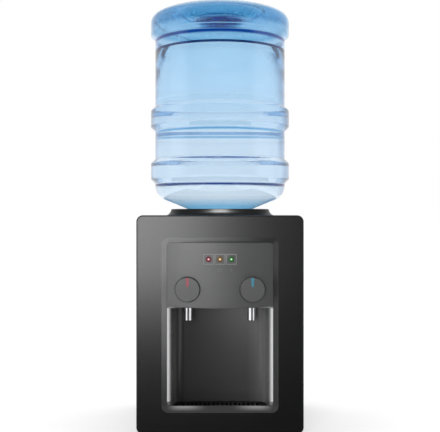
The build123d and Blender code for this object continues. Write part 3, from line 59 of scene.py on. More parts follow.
# Camera, read from the photograph
CAMERA_AT = (0.0, -1.701, 0.3986)
FOCAL_LENGTH = 70.97
SENSOR = 36.0

# Bottle profile, repeated from the part's source
BOTTLE_TOP = 798.5 * MM
PUSH_UP = 15.0 * MM
PUSH_UP_R = 60.0 * MM
PUSH_UP_ROUND = 20.0 * MM
RIM_IN = 84.0 * MM
RIM_IN_ROUND = 12.0 * MM
RIM_OUT = 106.0 * MM
RIM_OUT_ROUND = 60.0 * MM
HEEL_DROP = 13.5 * MM
HEEL_ROUND = 18.0 * MM
HEEL_LOW = 749.0 * MM
RIB_R = 135.0 * MM
RIB_SLOPE = 8.0 * MM
RIB_ROUND = 4.0 * MM
MID_RIB = (567.5 * MM, 607.0 * MM)
LOW_RIB = (465.8 * MM, 505.0 * MM)
WALL_R = 126.5 * MM
SHOULDER_Z = 436.7 * MM
SHOULDER_SLOPE = 21.0        # degrees
SHOULDER_ROUND = 32.0 * MM
NECK_R = 27.5 * MM
NECK_ROUND = 8.0 * MM
MOUTH_Z = 350.0 * MM
BOTTLE_WALL = 2.0 * MM

# Water, drops and moulded dots in the bottle
WATER_LEVEL = 720.0 * MM
WATER_OVERLAP = 0.4 * MM     # the water reaches this far into the wall, so no air shows between them
EDGE_DEPTH = 4.4 * MM        # dark ring of painted shade where the water's surface meets the wall
EDGE_HALF = 0.6 * MM         # the line's reach to both sides of the wall's inner face
DROP_COUNT = 500
DROP_R = 2.4 * MM
DROP_LEAST = 0.4             # smallest drop, as a share of the largest
DROP_LIFT = 0.5              # drop's middle off the wall, in its own radius
DOT_COUNT = 420
DOT_R = 2.3 * MM
DOT_SMALL = 0.6              # least size of a dot, and how far its size varies
DOT_VARY = 0.8
DOT_LEAST = 0.25 * MM
DOT_REACH = 58.0 * MM
PLACE_STEP = 0.6180          # steps that scatter places and sizes evenly
SIZE_STEP = 0.3711
GOLDEN_ANGLE = math.radians(137.508)

# Strips on the rounded sides of the niche's mouth, seen from above, painted with the highlight that these
# sides reflect
FLARE_R = 12.0 * MM          # the liner's rounding under the trim, repeated from the part's source
FLARE_AT = (100.67 * MM, -128.12 * MM)
FLARE_TURN = (25.0, 85.0)    # degrees that the rounding has turned from the front, outside and inside
TRIM_GAP = 0.05 * MM         # liner to the trim's back and to its bright face
TRIM_PROUD = 0.35 * MM
TRIM_LOW = 64.0 * MM
TRIM_TOP = 232.7 * MM

# Bevel round the opening in the front panel, repeated from the part's source; a satin film on it carries
# painted light and shade
BEVEL_OUT = (104.6 * MM, 46.5 * MM, 359.6 * MM, 12.0 * MM)   # half width, low, top, corner
BEVEL_IN = (95.6 * MM, 57.0 * MM, 351.0 * MM, 6.0 * MM)
BEVEL_FRONT_Y = -150.0 * MM
BEVEL_DEPTH = 8.5 * MM
BEVEL_SKIN = 0.15 * MM       # thickness of the film on it that carries the painted light and shade

# Pictograms under the indicator lights, with their strokes in units of their radius
ICON_Z = 301.5 * MM
ICON_R = 3.2 * MM
ICON_LINE = 0.22 * MM
WAVE_PLACES = (-0.7, 0.0, 0.7)
WAVE_SWING = 0.18
POWER_ARC = (125.0, 415.0)   # degrees
POWER_BAR = [(0.0, 0.15), (0.0, 1.1)]
FLAKE_TURNS = (30.0, 90.0, 150.0)

# How fine the meshes are
LATHE_STEPS = 144
ARC_STEP = math.radians(9)
ARC_LEAST = 2                # fewest steps of an arc
TRIM_STEPS = 12
CORNER_STEPS = 8
WAVE_STEPS = 16
POWER_STEPS = 18
STROKE_FINENESS = 2
BALL_FINENESS = 2
SHARP_ANGLE = math.radians(30)
ON_AXIS = 1e-7               # points closer to the axis than this lie on it

# Finishes: sizes of the patches in which tone and gloss drift, shares that they drift by, and grain
NOISE_LOW = 0.3              # values that most of a noise lies between
NOISE_HIGH = 0.7
NOISE_DETAIL = 3
PLASTIC_DRIFT = 30.0 * MM
PLASTIC_SPREAD = 0.12
PLASTIC_WEAR = 12.0 * MM
PLASTIC_WEAR_SPREAD = 0.15
PANEL_ROUGH = 0.32
PANEL_DEPTH = 0.003 * MM
PANEL_SPREAD = 0.04
PANEL_WEAR_SPREAD = 0.02
SPARK_GRAIN = 0.6 * MM
SPARK_DEPTH = 0.02 * MM
SPARK_DETAIL = 2
GLOSS_DRIFT = 60.0 * MM
GLOSS_TONES = (0.85, 1.15)
GLOSS_WEAR = 3.0 * MM
GLOSS_WEAR_DETAIL = 6
GLOSS_ROUGH = (0.9, 1.1)
PEEL_SIZE = 7.0 * MM
PEEL_DEPTH = 0.004 * MM
PEEL_DETAIL = 1
METAL_DRIFT = 25.0 * MM
METAL_TONES = (0.88, 1.1)
METAL_ROUGH = (0.8, 1.25)
STREAK_GRAIN = 1.2 * MM
STREAK_DEPTH = 0.006 * MM
STREAK_DETAIL = 4
STREAK_STRETCH = (1, 1, 30)
NO_STRETCH = (1, 1, 1)
FAINT_DEPTH = 0.004 * MM     # grain of small smooth pieces
SATIN_DEPTH = 0.006 * MM
SATIN_ROUGH = (0.38, 0.46)
TRIM_ROUGH = (0.27, 0.33)
NICHE_ROUGH = (0.22, 0.26)

# Indicator lenses
LENS_IOR = 1.49
LENS_ROUGH = 0.15
LENS_DRIFT = 2.0 * MM
LENS_TONES = (0.8, 1.1)
LENS_CORE = 0.6 * MM         # radius of the lit middle, and where the light ends
LENS_RIM = 2.8 * MM
LENS_DIM = 0.05

# Bottle's plastic, with painted light and shade by height, and what is in it
BOTTLE_IOR = 1.58
BOTTLE_WEAR = 15.0 * MM
BOTTLE_WEAR_DETAIL = 5
BOTTLE_ROUGH = (0.0, 0.08)
RIPPLE_SIZE = 22.0 * MM
RIPPLE_DEPTH = 0.05 * MM
RIPPLE_DETAIL = 2
RIPPLE_STRETCH = (1, 1, 0.4)
ABSORB_TINT = (0.3, 0.6, 0.9)
ABSORB_DENSITY = 50.0
NECK_TINT = (0.3, 0.64, 0.86)
NECK_FADE = (417.0 * MM, 432.0 * MM)
SHOULDER_TINT = (0.93, 0.965, 0.985)
LOW_TINT = (0.84, 0.915, 0.975)
MID_TINT = (0.74, 0.87, 0.965)
WALL_TINT = (0.65, 0.83, 0.95)
WALL_FADE = 60.0 * MM        # heel to where the wall's tint starts to pale
HEEL_TINT = (0.08, 0.4, 0.64)
HEEL_MID = 764.0 * MM
BASE_TINT = (0.4, 0.68, 0.88)
HEEL_HIGH = 778.0 * MM
RIM_TINT = (0.26, 0.52, 0.75)
FROST_TINT = (0.33, 0.63, 0.84)
FROST_GRAIN = 5.0 * MM
FROST_DETAIL = 2
FROST_SPECKS = (0.45, 0.6)   # noise values between which a speck shows
NAVY = (0.006, 0.07, 0.3)
AZURE = (0.004, 0.09, 0.36)
TEAL = (0.22, 0.5, 0.75)
HEEL_LINE = 2.2 * MM         # half widths of the painted dark lines of shade under the heel and the ribs
RIB_LINE = 1.2 * MM
RIB_SHADE_LINES = ((HEEL_LOW - RIB_SLOPE / 2, AZURE, HEEL_LINE), (MID_RIB[0], TEAL, RIB_LINE),
             (LOW_RIB[0], NAVY, RIB_LINE))
LINE_DROP = 8.0 * MM         # the painted lines lie this far under the edges that cast them
LINE_FADE = 2.0 * MM
WATER_IOR = 1.333
WATER_DRIFT = 120.0 * MM
WATER_TONES = ((0.97, 0.99, 1.0), (0.99, 1.0, 1.0))
# dark ring at the water's surface, painted shade
WATER_LINE_SHADE_TONE = (0.012, 0.08, 0.34)
WATER_EDGE_ROUGH = 0.3
# navy of the moulded dots is painted shade
DOT_SHADE_TINT = (0.006, 0.03, 0.45)
DOT_DRIFT = 20.0 * MM
DOT_TONES = (0.7, 1.3)
DOT_WEAR = 3.0 * MM
DOT_ROUGH = (0.1, 0.2)

# Tones of the casing, with painted light and shade for its bevel and niche
BLACK = (0.0045, 0.0045, 0.0048)
SHEET_BLACK = (0.014, 0.014, 0.015)
COLLAR_TONE = (0.0006, 0.0006, 0.0006)
PANEL_GREY = (0.072, 0.073, 0.075)
KNOB_GREY = (0.065, 0.066, 0.068)
RED = (0.3, 0.022, 0.045)
BLUE = (0.02, 0.21, 0.31)
WHITE = (0.78, 0.78, 0.76)
STEEL = (0.6, 0.6, 0.6)
# Painted light and shade on the bevel's film: darker low and right, lighter toward the top left, and a
# painted highlight at both ends of the sill
BEVEL_SHADED_TONE = (0.03, 0.03, 0.031)
BEVEL_LIT_TONE = (0.3, 0.3, 0.305)
SILL_HIGHLIGHT_TONE = (0.32, 0.32, 0.325)
SILL_HIGHLIGHT_LOW = (48.0 * MM, 57.0 * MM)      # heights where the painted highlight on the sill rises and ends
SILL_HIGHLIGHT_TOP = (58.0 * MM, 62.0 * MM)
SILL_HIGHLIGHT_RISE = (20.0 * MM, 62.0 * MM)     # distances from the middle where it rises and falls
SILL_HIGHLIGHT_FALL = (72.0 * MM, 98.0 * MM)
# Painted highlight on the strips at the niche's sides, fading inward to the painted sheen of those sides
TRIM_HIGHLIGHT_TONE = (0.78, 0.785, 0.8)
TRIM_HIGHLIGHT_FADE_X = (87.8 * MM, 93.8 * MM)
NICHE_SIDE_SHEEN = (0.2, 0.2, 0.203)
# Painted light across the niche: a painted sheen on both sides, and lighter toward the right
NICHE_PAINTED_LIGHT = ((-86 * MM, 0.2), (-80 * MM, 0.045), (-70 * MM, 0.024), (0.0, 0.034), (50 * MM, 0.045),
               (66 * MM, 0.075), (76 * MM, 0.13), (86 * MM, 0.25))     # place across, and grey there

# Studio
LIGHT_BOUNCES = 32           # the bottle and the water in it need many
FLOOR_HALF = 60.0
FLOOR_ROUGH = 0.9
FLOOR_DRIFT = 0.5
FLOOR_TONES = ((0.88, 0.88, 0.88), (0.9, 0.9, 0.9))
FLOOR_LIFT = 0.34            # light that the floor adds where it is seen, so that it is white
FLAG_FAR = (-8.0, 3.2)       # y and half width of the flag's end behind the camera, and by the casing
FLAG_CLOSE = (-0.165, 0.3)
FLAG_HEIGHT = 2.0 * MM
FLAG_TONE = (0.02, 0.02, 0.02)
FLAG_ROUGH = 0.9
CARD_REACH = 1.0             # bottle's axis to the side cards
CARD_END = 88.0              # degrees from straight behind the bottle
CARD_LOW = 0.1
CARD_TOP = 1.8
CARD_LEFT = (27.0, 0.62, (0.3, 0.4, 0.52))      # degrees of its start, y of its full tone, tone
CARD_RIGHT = (38.0, 0.53, (0.36, 0.47, 0.6))
PLAIN_WHITE = (1.0, 1.0, 1.0)
WORLD_TURN = (-0.65, -0.3)   # directions toward the viewer between which the world darkens
WORLD_FRONT = 0.03           # and its strength there
KEY_AT = (-0.45, -2.3, 0.51)
KEY_AIM = (-0.45, 0.0, 0.51)
KEY_SIZE = (0.8, 0.9)
KEY_POWER = 18
FILL_AT = (0.0, -2.6, 1.2)
FILL_AIM = (0.0, 0.0, 0.3)
FILL_SIZE = (2.0, 2.0)
FILL_POWER = 8
COLLAR_LAMP_AT = (0.0, -0.6, 0.95)
COLLAR_LAMP_AIM = (0.0, -0.1, 0.406)
COLLAR_LAMP_SIZE = (0.4, 0.5)
COLLAR_LAMP_POWER = 110


# Small tools

def add(name, data):
    """A new object in the scene."""
    piece = bpy.data.objects.new(name, data)
    bpy.context.scene.collection.objects.link(piece)
    return piece


def finished(name, work, mesh, smooth=True):
    """A piece from bmesh work that is done."""
    work.to_mesh(mesh)
    work.free()
    for face in mesh.polygons:
        face.use_smooth = smooth
    return add(name, mesh)


def mesh_object(name, verts, faces, smooth=True):
    """A mesh piece from points and faces, with its normals turned outward."""
    mesh = bpy.data.meshes.new(name)
    mesh.from_pydata(verts, [], faces)
    work = bmesh.new()
    work.from_mesh(mesh)
    bmesh.ops.recalc_face_normals(work, faces=work.faces)
    return finished(name, work, mesh, smooth)


def rounded(points):
    """A polyline of (r, z, rounding) with each corner replaced by an arc of that radius."""
    line = []
    for i, (r, z, radius) in enumerate(points):
        here = Vector((r, z))
        if radius == 0 or i in (0, len(points) - 1):
            line.append(here)
            continue
        back = (Vector(points[i - 1][:2]) - here).normalized()
        ahead = (Vector(points[i + 1][:2]) - here).normalized()
        half = back.angle(ahead) / 2
        reach = radius / math.tan(half)
        centre = here + (back + ahead).normalized() * (radius / math.sin(half))
        start = here + back * reach - centre
        turn = (here + ahead * reach - centre).angle_signed(start)
        steps = max(ARC_LEAST, math.ceil(abs(turn) / ARC_STEP))
        for k in range(steps + 1):
            a = turn * k / steps
            line.append(centre + Vector((start.x * math.cos(a) - start.y * math.sin(a),
                                         start.x * math.sin(a) + start.y * math.cos(a))))
    return line


def inset(line, depth):
    """The same line moved inward by depth, with its end on the axis kept there."""
    moved = []
    for i, here in enumerate(line):
        before = line[max(i - 1, 0)]
        after = line[min(i + 1, len(line) - 1)]
        along_line = (after - before).normalized()
        moved.append(here + Vector((along_line.y, -along_line.x)) * depth)
    moved[0].x = 0.0
    return moved


def strip(low, high):
    """Faces between two rings of point numbers, with points that coincide taken once."""
    faces = []
    for k in range(len(low)):
        n = (k + 1) % len(low)
        corners = list(dict.fromkeys((low[k], low[n], high[n], high[k])))
        if len(corners) > 2:
            faces.append(corners)
    return faces


def lathe(name, line, closed=False):
    """A solid of revolution about Z from (r, z) points. A closed line goes back to its start."""
    verts, faces, rings = [], [], []
    for point in line:
        if point.x < ON_AXIS:
            rings.append([len(verts)] * LATHE_STEPS)
            verts.append((0.0, 0.0, point.y))
            continue
        rings.append(list(range(len(verts), len(verts) + LATHE_STEPS)))
        for k in range(LATHE_STEPS):
            a = 2 * math.pi * k / LATHE_STEPS
            verts.append((point.x * math.cos(a), point.x * math.sin(a), point.y))
    if closed:
        rings.append(rings[0])
    for low, high in zip(rings, rings[1:]):
        faces += strip(low, high)
    return mesh_object(name, verts, faces)


def place(piece, body, material):
    """Puts a new piece on its body, with its material."""
    piece.data.materials.append(material)
    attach(piece, body)
    return piece


# Materials

class Nodes:
    """Helpers that add nodes to one tree, with its coordinates in one space."""

    def __init__(self, tree, space):
        self.tree = tree
        self.coords = self.node("ShaderNodeTexCoord").outputs[space]

    def node(self, kind, **settings):
        made = self.tree.nodes.new(kind)
        for key, value in settings.items():
            setattr(made, key, value)
        return made

    def link(self, source, target):
        self.tree.links.new(source, target)

    def axis(self, name, absolute=False):
        """One of the coordinates, or its distance from zero."""
        split = self.node("ShaderNodeSeparateXYZ")
        self.link(self.coords, split.inputs["Vector"])
        return self.maths("ABSOLUTE", split.outputs[name]) if absolute else split.outputs[name]

    def maths(self, operation, *values):
        """The result of an operation on sockets or numbers."""
        made = self.node("ShaderNodeMath", operation=operation)
        for socket, value in zip(made.inputs, values):
            if isinstance(value, float):
                socket.default_value = value
            else:
                self.link(value, socket)
        return made.outputs["Value"]

    def ramp(self, source, low, high, start=NOISE_LOW, end=NOISE_HIGH):
        """A value that goes smoothly from low to high while the source goes from start to end."""
        remap = self.node("ShaderNodeMapRange", interpolation_type="SMOOTHSTEP")
        remap.inputs["From Min"].default_value = start
        remap.inputs["From Max"].default_value = end
        remap.inputs["To Min"].default_value = low
        remap.inputs["To Max"].default_value = high
        self.link(source, remap.inputs["Value"])
        return remap.outputs["Result"]

    def rays(self, first, *others):
        """1 for the kinds of ray that are named, and 0 for the rest."""
        path = self.node("ShaderNodeLightPath")
        share = path.outputs[first]
        for kind in others:
            share = self.maths("MAXIMUM", share, path.outputs[kind])
        return share


class Surface(Nodes):
    """A node material built around one Principled shader, in the frame's own coordinates."""

    def __init__(self, name):
        self.material = bpy.data.materials.new(name)
        self.material.use_nodes = True
        super().__init__(self.material.node_tree, "Object")
        self.shader = self.tree.nodes["Principled BSDF"]

    def set(self, **sockets):
        for key, value in sockets.items():
            self.shader.inputs[key.replace("_", " ")].default_value = value
        return self

    def noise(self, size, detail=NOISE_DETAIL, stretch=NO_STRETCH):
        """Noise whose features are about size metres across."""
        mapping = self.node("ShaderNodeMapping")
        mapping.inputs["Scale"].default_value = stretch
        self.link(self.coords, mapping.inputs["Vector"])
        noise = self.node("ShaderNodeTexNoise")
        noise.inputs["Scale"].default_value = 1 / size
        noise.inputs["Detail"].default_value = detail
        self.link(mapping.outputs["Vector"], noise.inputs["Vector"])
        return noise.outputs["Fac"]

    def reach(self, centre, axes):
        """Distance from a centre, measured along the axes that are 1."""
        away = self.node("ShaderNodeVectorMath", operation="SUBTRACT")
        flat = self.node("ShaderNodeVectorMath", operation="MULTIPLY")
        length = self.node("ShaderNodeVectorMath", operation="LENGTH")
        away.inputs[1].default_value = centre
        flat.inputs[1].default_value = axes
        self.link(self.coords, away.inputs[0])
        self.link(away.outputs["Vector"], flat.inputs[0])
        self.link(flat.outputs["Vector"], length.inputs[0])
        return length.outputs["Value"]

    def mix(self, factor, first, second):
        """A colour between two, each given by its tones or by a socket."""
        mix = self.node("ShaderNodeMix", data_type="RGBA")
        for name, colour in (("A", first), ("B", second)):
            if isinstance(colour, tuple):
                mix.inputs[name].default_value = (*colour, 1)
            else:
                self.link(colour, mix.inputs[name])
        self.link(factor, mix.inputs["Factor"])
        return mix.outputs["Result"]

    def bands(self, source, stops):
        """Colours that run through (value, colour) stops as the source grows."""
        low, high = stops[0][0], stops[-1][0]
        share = self.node("ShaderNodeMapRange")
        share.inputs["From Min"].default_value = low
        share.inputs["From Max"].default_value = high
        self.link(source, share.inputs["Value"])
        ramp = self.node("ShaderNodeValToRGB")
        marks = ramp.color_ramp.elements
        for k, (value, colour) in enumerate(stops):
            spot = (value - low) / (high - low)
            mark = marks[k] if k < len(marks) else marks.new(spot)
            mark.position = spot
            mark.color = (*colour, 1)
        self.link(share.outputs["Result"], ramp.inputs["Fac"])
        return ramp.outputs["Color"]

    def paint(self, source, socket="Base Color"):
        self.link(source, self.shader.inputs[socket])

    def tones(self, source, first, second):
        """Base colour running between two tones with the source."""
        self.paint(self.mix(self.ramp(source, 0, 1), first, second))

    def drift(self, colour, size, low, high):
        """Base colour drifting between two shades of one tone, in patches of this size."""
        self.tones(self.noise(size), shade(colour, low), shade(colour, high))

    def rough(self, source, low, high):
        self.paint(self.ramp(source, low, high), "Roughness")

    def bump(self, source, distance):
        bump = self.node("ShaderNodeBump")
        bump.inputs["Distance"].default_value = distance
        bump.inputs["Strength"].default_value = 1.0
        self.link(source, bump.inputs["Height"])
        self.paint(bump.outputs["Normal"], "Normal")

    def moulded(self, rough, grain, depth):
        """Uneven gloss and a fine spark grain."""
        self.rough(self.noise(PLASTIC_WEAR), *rough)
        self.bump(self.noise(grain, SPARK_DETAIL), depth)
        return self.material

    def polished(self, rough):
        """Hairline wear in the gloss, and a slight orange peel."""
        self.rough(self.noise(GLOSS_WEAR, GLOSS_WEAR_DETAIL), *rough)
        self.bump(self.noise(PEEL_SIZE, PEEL_DETAIL), PEEL_DEPTH)
        return self.material


def shade(colour, factor):
    """A colour made lighter or darker."""
    return tuple(min(1.0, c * factor) for c in colour)


def plastic(name, colour, roughness, grain=SPARK_GRAIN, depth=SPARK_DEPTH, spread=PLASTIC_SPREAD,
            wear=PLASTIC_WEAR_SPREAD, **sockets):
    """Moulded plastic with a faint drift of tone."""
    s = Surface(name).set(**sockets)
    s.drift(colour, PLASTIC_DRIFT, 1 - spread, 1 + spread)
    return s.moulded((roughness * (1 - wear), roughness * (1 + wear)), grain, depth)


def panel_plastic(name, colour):
    """Even, nearly smooth plastic of the control panel and its knobs."""
    return plastic(name, colour, PANEL_ROUGH, depth=PANEL_DEPTH, spread=PANEL_SPREAD, wear=PANEL_WEAR_SPREAD)


def gloss(name, colour, roughness, **sockets):
    """Polished plastic."""
    s = Surface(name).set(**sockets)
    s.drift(colour, GLOSS_DRIFT, *GLOSS_TONES)
    return s.polished([roughness * share for share in GLOSS_ROUGH])


def metal(name, colour, roughness, stretch=STREAK_STRETCH, grain=STREAK_GRAIN, depth=STREAK_DEPTH):
    """Drawn or brushed metal, with streaks across the stretched axis."""
    s = Surface(name).set(Metallic=1.0)
    streaks = s.noise(grain, STREAK_DETAIL, stretch)
    s.drift(colour, METAL_DRIFT, *METAL_TONES)
    s.rough(streaks, *(roughness * share for share in METAL_ROUGH))
    s.bump(streaks, depth)
    return s.material


def lens(name, colour, core):
    """Tinted lamp lens, dark at its rim and lit in the middle."""
    low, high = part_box("indicator_" + name)
    s = Surface(name).set(IOR=LENS_IOR, Roughness=LENS_ROUGH)
    s.drift(colour, LENS_DRIFT, *LENS_TONES)
    reach = s.reach((low + high) / 2, (1, 0, 1))
    s.paint(s.mix(s.ramp(reach, 1, 0, LENS_CORE, LENS_RIM), colour, core), "Emission Color")
    s.paint(s.ramp(reach, 1, LENS_DIM, LENS_CORE, LENS_RIM), "Emission Strength")
    return s.material


def niche_painted_light():
    """Polished dark plastic with painted light across it: a painted sheen on both sides of the niche, and
    lighter toward the right.
    """
    s = Surface("niche_black")
    s.paint(s.bands(s.axis("X"), [(x, (tone, tone, tone)) for x, tone in NICHE_PAINTED_LIGHT]))
    return s.polished(NICHE_ROUGH)


def bottle_shade_tints():
    """Tint of the bottle's wall by height, as painted light and shade: paler toward the shoulder, deeper at
    the neck, heel and base, and dark lines under the heel and each rib.
    """
    stops = [(MOUTH_Z, NECK_TINT), (NECK_FADE[0], NECK_TINT), (NECK_FADE[1], SHOULDER_TINT),
             (LOW_RIB[0], LOW_TINT), (MID_RIB[1], MID_TINT), (HEEL_LOW - WALL_FADE, WALL_TINT),
             (HEEL_LOW + RIB_SLOPE, WALL_TINT), (HEEL_MID, HEEL_TINT), (HEEL_HIGH, BASE_TINT),
             (BOTTLE_TOP, RIM_TINT)]
    for edge, tint, core in RIB_SHADE_LINES:
        z = edge - LINE_DROP
        half = core + LINE_FADE
        around = [wall for height, wall in stops if height < z][-1]
        stops += [(z - half, around), (z - core, tint), (z + core, tint), (z + half, around)]
        stops.sort()
    return stops


def bottle_plastic():
    """Clear blue polycarbonate with painted light and shade by height, and mottled at the heel."""
    s = Surface("bottle_blue").set(Transmission_Weight=1.0, IOR=BOTTLE_IOR)
    height = s.axis("Z")
    specks = s.ramp(s.noise(FROST_GRAIN, FROST_DETAIL), 0, 1, *FROST_SPECKS)
    frost = s.maths("MULTIPLY", specks, s.ramp(height, 0, 1, HEEL_LOW, HEEL_MID))
    s.paint(s.mix(frost, s.bands(height, bottle_shade_tints()), FROST_TINT))
    s.rough(s.noise(BOTTLE_WEAR, BOTTLE_WEAR_DETAIL), *BOTTLE_ROUGH)
    s.bump(s.noise(RIPPLE_SIZE, RIPPLE_DETAIL, RIPPLE_STRETCH), RIPPLE_DEPTH)
    absorb = s.node("ShaderNodeVolumeAbsorption")
    absorb.inputs["Color"].default_value = (*ABSORB_TINT, 1)
    absorb.inputs["Density"].default_value = ABSORB_DENSITY
    s.link(absorb.outputs["Volume"], s.tree.nodes["Material Output"].inputs["Volume"])
    return s.material


def dot_painted_shade():
    """Moulded dots tinted navy: painted shade for the dark patch seen under the base."""
    s = Surface("base_dots").set(Transmission_Weight=1.0, IOR=BOTTLE_IOR)
    s.drift(DOT_SHADE_TINT, DOT_DRIFT, *DOT_TONES)
    s.rough(s.noise(DOT_WEAR), *DOT_ROUGH)
    return s.material


def bevel_painted_light():
    """Satin film painted with light and shade: lighter toward the top left, darker low and right, with a
    painted highlight at both ends of the sill.
    """
    s = Surface("bevel_painted_light")
    height = s.axis("Z")
    across = s.axis("X", absolute=True)
    half, low, top, _ = BEVEL_OUT
    up = s.ramp(height, 0, 1, low, top)
    left = s.ramp(s.axis("X"), 1, 0, -half, half)
    sill = s.maths("MULTIPLY", s.ramp(height, 0, 1, *SILL_HIGHLIGHT_LOW), s.ramp(height, 1, 0, *SILL_HIGHLIGHT_TOP))
    ends = s.maths("MULTIPLY", s.ramp(across, 0, 1, *SILL_HIGHLIGHT_RISE), s.ramp(across, 1, 0, *SILL_HIGHLIGHT_FALL))
    # painted shade low and right, painted light toward the top left
    satin = s.mix(s.maths("MULTIPLY", up, left), BEVEL_SHADED_TONE, BEVEL_LIT_TONE)
    # painted highlight at both ends of the sill
    s.paint(s.mix(s.maths("MULTIPLY", sill, ends), satin, SILL_HIGHLIGHT_TONE))
    return s.moulded(SATIN_ROUGH, SPARK_GRAIN, SATIN_DEPTH)


def trim_painted_highlight(name):
    """A painted highlight, pale at the outer edge, that fades inward into the painted sheen of the niche's
    sides.
    """
    s = Surface(name)
    s.paint(s.mix(s.ramp(s.axis("X", absolute=True), 0, 1, *TRIM_HIGHLIGHT_FADE_X), NICHE_SIDE_SHEEN, TRIM_HIGHLIGHT_TONE))
    return s.moulded(TRIM_ROUGH, SPARK_GRAIN, FAINT_DEPTH)


def water_material():
    """Clear water."""
    s = Surface("water").set(Transmission_Weight=1.0, IOR=WATER_IOR, Roughness=0.0)
    s.tones(s.noise(WATER_DRIFT), *WATER_TONES)
    return s.material


# A material for every slot: its tone, its roughness, and what else differs from the usual finish
MATERIALS = {
    "gloss_black": gloss("gloss_black", BLACK, 0.24),
    "casing_black": plastic("casing_black", BLACK, 0.35),
    "sheet_black": plastic("sheet_black", SHEET_BLACK, 0.4, grain=1.5 * MM, depth=0.03 * MM),
    "panel_grey": panel_plastic("panel_grey", PANEL_GREY),
    "niche_black": niche_painted_light(),
    "tray_black": plastic("tray_black", BLACK, 0.5, Specular_IOR_Level=0.2),
    "knob_grey": panel_plastic("knob_grey", KNOB_GREY),
    "pointer_red": plastic("pointer_red", RED, 0.35, depth=0.005 * MM),
    "pointer_blue": plastic("pointer_blue", BLUE, 0.35, depth=0.005 * MM),
    "frame_silver": plastic("frame_silver", (0.21, 0.21, 0.215), 0.35, depth=FAINT_DEPTH),
    "chrome": metal("chrome", (0.8, 0.8, 0.82), 0.06, depth=0.0005 * MM),
    "bottle_blue": bottle_plastic(),
    "cap_white": plastic("cap_white", WHITE, 0.4),
    "natural_plastic": plastic("natural_plastic", (0.7, 0.7, 0.66), 0.45),
    "dark_plastic": plastic("dark_plastic", (0.025, 0.025, 0.027), 0.55),
    "rocker_red": plastic("rocker_red", (0.45, 0.02, 0.02), 0.25, depth=FAINT_DEPTH),
    "rocker_green": plastic("rocker_green", (0.02, 0.3, 0.08), 0.25, depth=FAINT_DEPTH),
    "stainless": metal("stainless", STEEL, 0.3),
    "zinc_steel": metal("zinc_steel", shade(STEEL, 0.8), 0.42, stretch=NO_STRETCH, grain=14 * MM),
    "aluminium": metal("aluminium", (0.72, 0.73, 0.74), 0.38),
    "heater_steel": metal("heater_steel", (0.45, 0.41, 0.36), 0.4),
    "peltier_ceramic": plastic("peltier_ceramic", (0.8, 0.8, 0.77), 0.6),
    "foam_white": plastic("foam_white", (0.8, 0.8, 0.76), 0.9, grain=2.5 * MM, depth=0.4 * MM),
    "silicone": plastic("silicone", (0.65, 0.68, 0.68), 0.35, Transmission_Weight=0.4),
    "foot_rubber": plastic("foot_rubber", (0.02, 0.02, 0.02), 0.8, grain=0.8 * MM, depth=0.05 * MM),
    "board_green": plastic("board_green", (0.03, 0.16, 0.08), 0.4, grain=2 * MM, depth=0.01 * MM),
    "lens_red": lens("lens_red", (0.18, 0.02, 0.035), (1.0, 0.75, 0.75)),
    "lens_amber": lens("lens_amber", (0.2, 0.1, 0.02), (1.0, 0.95, 0.7)),
    "lens_green": lens("lens_green", (0.02, 0.14, 0.02), (0.75, 1.0, 0.75)),
}

# The collar shares its slot with the front panel, but it is duller
OWN_MATERIALS = {"bottle_collar": gloss("collar_black", COLLAR_TONE, 0.35, Specular_IOR_Level=0.06)}

for row in frame["record"]["subparts"]:
    node = frame["nodes"][row["node"]]
    node.data.materials.clear()
    node.data.materials.append(OWN_MATERIALS.get(row["node"], MATERIALS[row["material_slot"]]))


# Bottle and the water in it

def bottle_line():
    """Outer profile from the middle of the base, on top, down to the mouth."""
    half = RIB_SLOPE / 2
    corners = [(0, BOTTLE_TOP - PUSH_UP, 0), (PUSH_UP_R, BOTTLE_TOP - PUSH_UP, PUSH_UP_ROUND),
               (RIM_IN, BOTTLE_TOP, RIM_IN_ROUND), (RIM_OUT, BOTTLE_TOP, RIM_OUT_ROUND),
               (RIB_R, BOTTLE_TOP - HEEL_DROP, HEEL_ROUND), (RIB_R, HEEL_LOW, RIB_ROUND),
               (WALL_R, HEEL_LOW - RIB_SLOPE, RIB_ROUND)]
    for low, high in (MID_RIB, LOW_RIB):
        corners += [(WALL_R, high + half, RIB_ROUND), (RIB_R, high - half, RIB_ROUND),
                    (RIB_R, low + half, RIB_ROUND), (WALL_R, low - half, RIB_ROUND)]
    neck_top = SHOULDER_Z - (WALL_R - NECK_R) * math.tan(math.radians(SHOULDER_SLOPE))
    corners += [(WALL_R, SHOULDER_Z, SHOULDER_ROUND), (NECK_R, neck_top, NECK_ROUND), (NECK_R, MOUTH_Z, 0)]
    return rounded(corners)


outer = bottle_line()
inner = inset(outer, BOTTLE_WALL)
bottle = lathe("bottle_shell", outer + inner[::-1])
place(bottle, "bottle", MATERIALS["bottle_blue"])
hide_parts("bottle")


def water_line():
    """Water under its level, down to the feed probe's top, a little way into the wall."""
    wall = inset(outer, BOTTLE_WALL - WATER_OVERLAP)
    probe_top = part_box("feed_probe")[1].z
    wet = [p for p in wall if probe_top < p.y < WATER_LEVEL]
    return [Vector((0, WATER_LEVEL)), Vector((wet[0].x, WATER_LEVEL))] + wet + [Vector((0, wet[-1].y))]


water = lathe("bottle_water", water_line())
place(water, "bottle", water_material())


def shade_ring_section():
    """Section of the dark ring of painted shade where the water's surface meets the wall."""
    r = WALL_R - BOTTLE_WALL
    low = WATER_LEVEL - EDGE_DEPTH
    return [Vector((r - EDGE_HALF, WATER_LEVEL)), Vector((r + EDGE_HALF, WATER_LEVEL)),
            Vector((r + EDGE_HALF, low)), Vector((r - EDGE_HALF, low))]


water_line_shade = lathe("water_line_shade", shade_ring_section(), closed=True)
place(water_line_shade, "bottle", plastic("water_line_shade", WATER_LINE_SHADE_TONE, WATER_EDGE_ROUGH))


